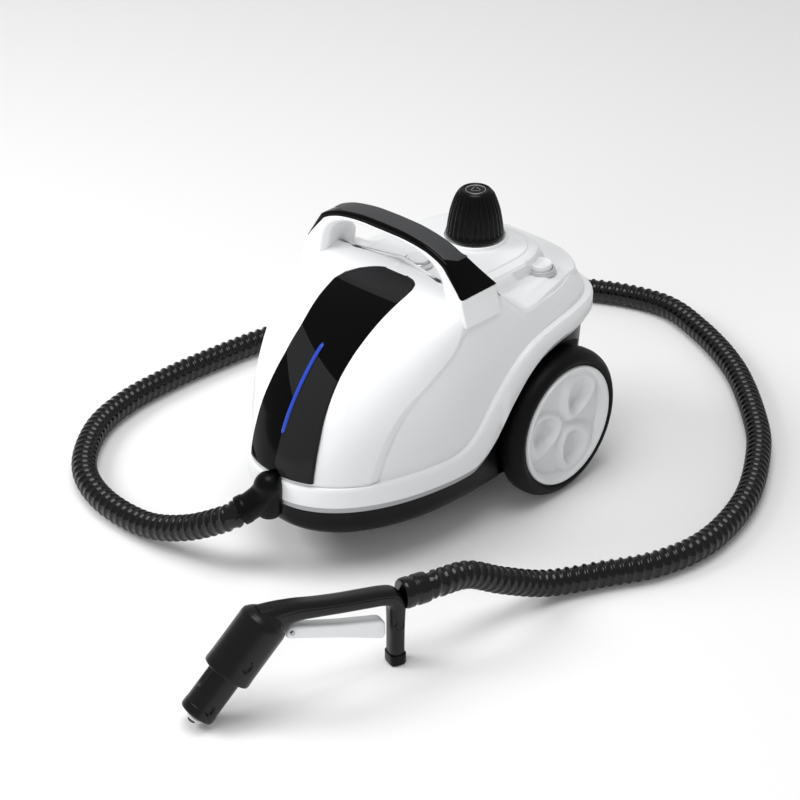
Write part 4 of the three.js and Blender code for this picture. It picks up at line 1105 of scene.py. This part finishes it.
def hose_socket():
    """The domed elbow on the nose that the hose comes out of."""
    x, y = SOCKET_AT
    bend = evenly(flowing([
        (x, y - 1, SOCKET_TOP), (x, y - 1, 92), (x - 3, y - 5, 82), (x - 9, y - 14, 73),
        HOSE_START - 2 * HOSE_WAY,
    ], 16), 60)
    from_top = distances(bend)
    dome = SOCKET_RADIUS * np.sqrt(np.clip(1 - np.clip(1 - from_top / SOCKET_RADIUS, 0, 1) ** 2, 0.0004, 1))
    sides = 48
    rings = tube_points(bend, dome + 0.9 * smoothly(from_top, 44, 48), sides)
    points = list(rings.reshape(-1, 3))
    faces = tube_faces(len(bend), sides)
    base = len(points)
    tower = [(0.2, 60), (10.5, 60), (12.5, 63), (13.2, 72), (13.8, 92), (0.2, 92)]
    for angle in full_turn(sides):
        points += [(x + r * math.cos(angle), y + r * math.sin(angle), z) for r, z in tower]
    faces += [tuple(base + k for k in face) for face in quads(sides, len(tower), wrap_rows=True)]
    return show("hose_socket_elbow", points, faces, BLACK, "hose_socket", slot="chassis_black")


def hose_cuff_machine():
    profile = rounded([
        (9, -9), (13, -9), (14.7, -8), (14.7, -7), (12.6, -5.6), (12.6, -4), (14.7, -2.6), (14.7, -1.6),
        (13, -0.6), (9, -0.6),
    ], 0.5, 3)
    return turned_along(
        "hose_cuff_nose", HOSE_START, HOSE_WAY, profile, HOSE_BLACK, "hose_cuff_machine", segments=72,
        slot="hose_black",
    )


# ---------------------------------------------------------------- steam gun

GUN_FOOT = middle_of("gun_foot")
GUN_TURN = math.radians(-18.9)
BARREL_PITCH = math.radians(48)
BARREL_BACK = np.array((0, -135.0, 84.0))
BARREL_WAY = np.array((0, -math.cos(BARREL_PITCH), -math.sin(BARREL_PITCH)))
TUBE_RADIUS = 16.5
TUBE_END = 96.4
# half length, half width and radius of the skin of the leaf-shaped slots
SLEEVE_LEAF = (6.5, 4.0, 22.5)
TUBE_LEAF = (5.5, 3.6, TUBE_RADIUS)
GRIP_SEAM = 0.42  # share of the grip's half height where its seam runs


def gun(point):
    """A place given in the gun's own frame, whose origin is under its foot, as a place here."""
    x, y, z = point
    return np.array((
        GUN_FOOT[0] - CENTRE_X + x * math.cos(GUN_TURN) - y * math.sin(GUN_TURN),
        GUN_FOOT[1] - AXLE_Y + x * math.sin(GUN_TURN) + y * math.cos(GUN_TURN),
        z,
    ))


def gun_way(way):
    return gun(way) - gun((0, 0, 0))


def leaf(along, angle, at, toward, reach, half, radius):
    """Depth of a leaf-shaped slot, centred at a distance and an angle, at a place on a turned skin."""
    off = (angle - toward + math.pi) % (2 * math.pi) - math.pi
    size = math.hypot((along - at) / reach, off * radius / half)
    return 2.2 * (1 - smoothly(size, 0.75, 1.0))


def barrel_piece(name, profile, look, stands_for, segments=160, **kwargs):
    return turned_along(
        name, gun(BARREL_BACK), gun_way(BARREL_WAY), profile, look, stands_for, segments=segments,
        side=gun_way((1, 0, 0)), **kwargs,
    )


def gun_sleeve():
    def slots(along, angle):
        return max(leaf(along, angle, 31, -0.1, *SLEEVE_LEAF), leaf(along, angle, 20, 2.2, *SLEEVE_LEAF))

    profile = filled([
        (0.3, -19), (8, -18.4), (13, -16), (18.8, -11.5), (22.2, -7.5), (22.8, -4), (22.8, 20), (22.9, 40),
        (23.2, 48.5), (22.9, 50), (22.2, 50.6), (21.4, 50.2), (20.9, 48), (20.5, 30), (16.8, 28), (0.3, 28),
    ])
    return barrel_piece("gun_sleeve", profile, GUN_BLACK, "gun_collar", dent=slots, slot="gun_black")


def gun_tube():
    def slots(along, angle):
        return max(leaf(along, angle, 84, -0.1, *TUBE_LEAF), leaf(along, angle, 79, 2.4, *TUBE_LEAF))

    end = TUBE_END
    profile = filled([
        (0.3, 20), (16.1, 20), (16.1, end - 9), (16.4, end - 8.6), (TUBE_RADIUS, end - 2), (15.7, end - 0.4),
        (14.8, end), (13.8, end - 0.3), (13.1, end - 1.5), (12.6, end - 6), (6.8, end - 6.2), (5.6, end - 3),
        (4.6, end + 0.5), (0.3, end + 0.5),
    ])
    return barrel_piece("gun_steam_tube_sleeve", profile, GUN_BLACK, "gun_tube", dent=slots, slot="gun_black")


def gun_nozzle():
    """The nozzle's tip, with the groove that the sealing ring sits in."""
    end = TUBE_END
    profile = rounded([
        (0.2, end - 6), (4, end - 6), (4, end + 1.8), (3.5, end + 2.2), (3.5, end + 5.2), (4.1, end + 5.6),
        (4.1, end + 7.2), (2.9, end + 8.2), (1.7, end + 8.2), (1.5, end + 5.5), (0.2, end + 5.5),
    ], 0.4, 2, closed=False)
    return barrel_piece("gun_nozzle_tip", profile, INLAY_GREY, "gun_nozzle", segments=48, slot="gun_black")


def gun_o_ring():
    middle = TUBE_END + 3.8
    ring = [(5.2 + 1.5 * math.cos(angle), middle + 1.5 * math.sin(angle)) for angle in full_turn(16)]
    return barrel_piece(
        "gun_o_ring_seal", [*ring, ring[0]], SILICONE, "gun_o_ring", segments=64, slot="silicone",
    )


def key_rib():
    """The raised key along the top of the tube that locks an accessory."""
    up = np.array((0, -math.sin(BARREL_PITCH), math.cos(BARREL_PITCH)))
    side = np.array((1.0, 0, 0))
    section = [(-3, 15), (-2.8, 17.2), (-2, 18.3), (2, 18.3), (2.8, 17.2), (3, 15)]
    rings = []
    for along, grow in [(46, 1), (66, 1), (70, 0.92), (72, 0.6)]:
        ring = []
        for x, rise in section:
            across = side * x * (0.75 + 0.25 * grow)
            height = 15 + (rise - 15) * grow
            ring.append(gun(BARREL_BACK + BARREL_WAY * along + across + up * height))
        rings.append(ring)
    return swept("gun_key_rib", rings, GUN_BLACK, slot="gun_black")


# y, z, half height and half width of the grip and its arm, from the sleeve to the foot
GRIP_STATIONS = [
    (-134, 89, 17, 12), (-122, 91, 14, 11.4), (-112, 92, 11.4, 10.8), (-98, 91.4, 9.4, 10.2),
    (-80, 88.2, 8.3, 10), (-55, 84, 7.9, 10), (-32, 80.8, 7.9, 10), (-14, 78, 7.9, 10), (-4.5, 74.4, 8.2, 10),
    (0, 66, 8.2, 9.7), (0.4, 54, 7.8, 9.2), (0.2, 38, 7.5, 8.8), (0, 12.8, 7.4, 8.6),
]
GRIP_SQUARENESS = 2.8


def gun_grip():
    """The grip and its arm, with a seam along both sides where the two shells meet."""
    stations = flowing(GRIP_STATIONS, 10)
    middle = stations[:, :2]
    way = np.gradient(middle, axis=0)
    way /= np.linalg.norm(way, axis=1)[:, None]
    normal = np.stack([-way[:, 1], way[:, 0]], 1)
    rings = []
    for (y, z, half_height, half_width), (out_y, out_z) in zip(stations, normal):
        ring = []
        for angle in full_turn(96):
            across, rise = math.cos(angle), math.sin(angle)
            size = (abs(across) ** GRIP_SQUARENESS + abs(rise) ** GRIP_SQUARENESS) ** (1 / GRIP_SQUARENESS)
            up = half_height * rise / size
            seam = 0.55 * math.exp(-((rise / size - GRIP_SEAM) / 0.045) ** 2) if y > -118 else 0
            out = (half_width - seam) * across / size
            ring.append(gun((out, y + out_y * up, z + out_z * up)))
        rings.append(ring)
    return swept(
        "gun_grip_shell", rings, GUN_BLACK, "gun_shell_left gun_shell_right", slot="gun_black", sharp=50,
    )


LEVER_HALF = 6.5
LEVER_RIM = 3.2  # radius of its rounded edges


def gun_trigger():
    """The lever: a plate cut to its side view in the gun's frame, with rounded edges."""
    side_view = rounded([
        (-112, 67), (-103, 64), (-60, 50), (-16, 34), (-12.6, 38), (-13, 52), (-17, 55.5), (-60, 65.5),
        (-97, 76), (-107, 78), (-112, 74),
    ], 4, 5)
    line = evenly([*side_view, side_view[0]], 160)[:-1]
    way = np.roll(line, -1, axis=0) - np.roll(line, 1, axis=0)
    way /= np.linalg.norm(way, axis=1)[:, None]
    normal = np.stack([-way[:, 1], way[:, 0]], 1)
    area = np.sum(line[:, 0] * np.roll(line[:, 1], -1) - np.roll(line[:, 0], -1) * line[:, 1])
    inward = normal if area > 0 else -normal
    rings = []
    for angle in np.linspace(-math.pi / 2, math.pi / 2, 11):
        flank = math.copysign(LEVER_HALF - LEVER_RIM, angle)
        x = flank + LEVER_RIM * math.sin(angle) if abs(angle) > 0.01 else 0
        inset = LEVER_RIM * (1 - math.cos(angle))
        rings.append([gun((x, *(spot + side * inset))) for spot, side in zip(line, inward)])
    return swept("gun_trigger_lever", rings, WHITE, "gun_trigger", body="trigger_lever", slot="trigger_white")


def gun_foot():
    """The dark shoe that the arm stands on."""
    levels_of_foot = [
        (0, 7.8, 6.8), (0.6, 8.6, 7.6), (2, 9.2, 8.2), (11.6, 9.2, 8.2), (12.2, 8.8, 7.8), (12.3, 0.3, 0.3),
    ]
    points = []
    for z, half_x, half_y in levels_of_foot:
        for angle in full_turn(64):
            across, along = math.cos(angle), math.sin(angle)
            size = (abs(across) ** 4 + abs(along) ** 4) ** 0.25
            points.append(gun((half_x * across / size, half_y * along / size, z)))
    faces = quads(len(levels_of_foot), 64, wrap_columns=True)
    faces.append(tuple(range(64)))
    return show("gun_foot_shoe", points, faces, BLACK, "gun_foot", slot="gun_black")


def gun_screw():
    """The screw in its dark recess in the side of the arm."""
    profile = [
        (0.2, 0), (1.2, 0), (1.3, 0.5), (2.6, 0.5), (3, 0.1), (3.1, -0.6), (4.1, -0.6), (4.1, 0.75),
        (4.7, 0.8), (4.9, 0.2), (4.9, -2), (0.2, -2),
    ]
    return turned_along(
        "gun_screw_head", gun((8.2, 0, 45)), gun_way((1, 0, 0)), profile, BLACK, "gun_screw", segments=40,
        side=(0, 0, 1), slot="steel",
    )


def hose_cuff_gun():
    profile = rounded([
        (0.3, 6), (13.4, 6), (14.6, 9), (14.6, 15), (13.6, 16), (13.6, 19), (14.6, 20), (14.6, 29),
        (14.2, 31.8), (0.3, 31.8),
    ], 0.7, 3)
    return turned_along(
        "hose_cuff_grip", gun((0, 0, GUN_HOSE_Z)), gun_way((0, 1, 0)), profile, HOSE_BLACK, "hose_cuff_gun",
        segments=72, side=(0, 0, 1), slot="hose_black",
    )


# ---------------------------------------------------------------- pieces kept as they are

# CAD nodes whose shapes stay, by the material they get
KEPT = [
    (BRASS, ["cap_plug", "safety_valve", "solenoid_valve", "steam_pipe_boiler"]),
    (STEEL, [
        "power_spring", "mode_spring", "cap_spring", "boiler_cradle", "heating_element", "caster_pin",
        "axle_stub_left", "axle_stub_right", "gun_trigger_pin",
    ]),
    (BOILER_METAL, ["boiler_lower", "boiler_upper"]),
    (SILICONE, ["cap_gasket", "steam_pipe_outlet", "gun_steam_tube"]),
    (BLACK, ["power_switch", "mode_switch", "thermostat", "pressure_switch", "caster_fork", "cord_gland"]),
    (BOARD_GREEN, ["led_board"]),
]


def dress_kept_nodes():
    for look, names in KEPT:
        for name in names:
            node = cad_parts[name]
            node.data.materials.clear()
            node.data.materials.append(look)


def caster_wheel():
    low, high = box_of("caster_wheel")
    centre = ((low[0] + high[0]) / 2 - CENTRE_X, (low[1] + high[1]) / 2 - AXLE_Y, (low[2] + high[2]) / 2)
    radius, half = (high[2] - low[2]) / 2, (high[0] - low[0]) / 2
    profile = rounded([
        (2.3, -half), (radius - 5, -half), (radius, -half + 3), (radius, half - 3), (radius - 5, half),
        (2.3, half),
    ], 2, 4)
    return turned(
        "caster_roller_tread", profile, INLAY_GREY, "caster_wheel", centre, axis="x", segments=72,
        body="caster_roller", slot="tyre_black",
    )


# ---------------------------------------------------------------- studio

# metres: the floor runs this far each way from the frame's origin
FLOOR_REACH = 6
SKY_STRENGTH = 0.42
# name, place in metres, size, power, and whether shiny surfaces mirror it
LIGHTS = [
    ("key", (-1.7, -1.5, 1.9), 1.4, 40, False),
    ("top", (0.1, -0.2, 2.8), 1.8, 34, True),
    ("front", (0.9, -2.4, 0.9), 1.4, 15, False),
]
LIGHTS_AIM = (0, 0, 0.1)


def studio():
    """A white floor, an even sky and three soft lights."""
    mesh = bpy.data.meshes.new("floor")
    corners = [(-1, -1), (1, -1), (1, 1), (-1, 1)]
    mesh.from_pydata([(FLOOR_REACH * x, FLOOR_REACH * y, 0) for x, y in corners], [], [(0, 1, 2, 3)])
    mesh.materials.append(FLOOR)
    floor = bpy.data.objects.new("floor", mesh)
    bpy.context.collection.objects.link(floor)
    world = bpy.data.worlds.new("studio")
    world.use_nodes = True
    sky = world.node_tree.nodes["Background"]
    sky.inputs["Color"].default_value = (1, 1, 1, 1)
    sky.inputs["Strength"].default_value = SKY_STRENGTH
    bpy.context.scene.world = world
    bpy.context.scene.view_settings.view_transform = "Standard"
    for light in LIGHTS:
        soft_light(*light)


def soft_light(name, at, size, power, mirrored):
    light = bpy.data.lights.new(name, "AREA")
    light.shape = "DISK"
    light.size = size
    light.energy = power
    lamp = bpy.data.objects.new(name, light)
    lamp.location = at
    lamp.rotation_euler = (Vector(LIGHTS_AIM) - Vector(at)).to_track_quat("-Z", "Y").to_euler()
    lamp.visible_glossy = mirrored
    bpy.context.collection.objects.link(lamp)


def camera():
    azimuth, elevation = math.radians(CAMERA_AZIMUTH), math.radians(CAMERA_ELEVATION)
    level_share = math.cos(elevation)
    back = Vector((math.sin(azimuth) * level_share, -math.cos(azimuth) * level_share, math.sin(elevation)))
    data = bpy.data.cameras.new("camera")
    data.sensor_width = 36
    data.lens = CAMERA_LENS
    data.clip_end = 50
    eye = bpy.data.objects.new("camera", data)
    eye.location = Vector(place(CAMERA_TARGET)) + CAMERA_DISTANCE * back
    eye.rotation_euler = back.to_track_quat("Z", "Y").to_euler()
    bpy.context.collection.objects.link(eye)
    bpy.context.scene.camera = eye


# ---------------------------------------------------------------- everything together

def build():
    studio()
    camera()
    hose, line, length = steam_hose()
    cuffs = [hose_cuff_machine(), hose_cuff_gun()]
    hose_socket()
    front_shell()
    front_panel()
    light_strip()
    rear_housing()
    bumper_band()
    chassis()
    rear_deck()
    handle_lower()
    handle_cover()
    handle_inlay()
    filler_collar()
    cap_shell()
    cap_badge()
    push_button("power", "power_push", CLEAR)
    push_button("mode", "mode_push", CHROME)
    for side in (-1, 1):
        tyre(side)
        wheel_hub(side)
    caster_wheel()
    gun_sleeve()
    gun_tube()
    gun_nozzle()
    gun_o_ring()
    key_rib()
    gun_grip()
    gun_trigger()
    gun_foot()
    gun_screw()
    dress_kept_nodes()


build()
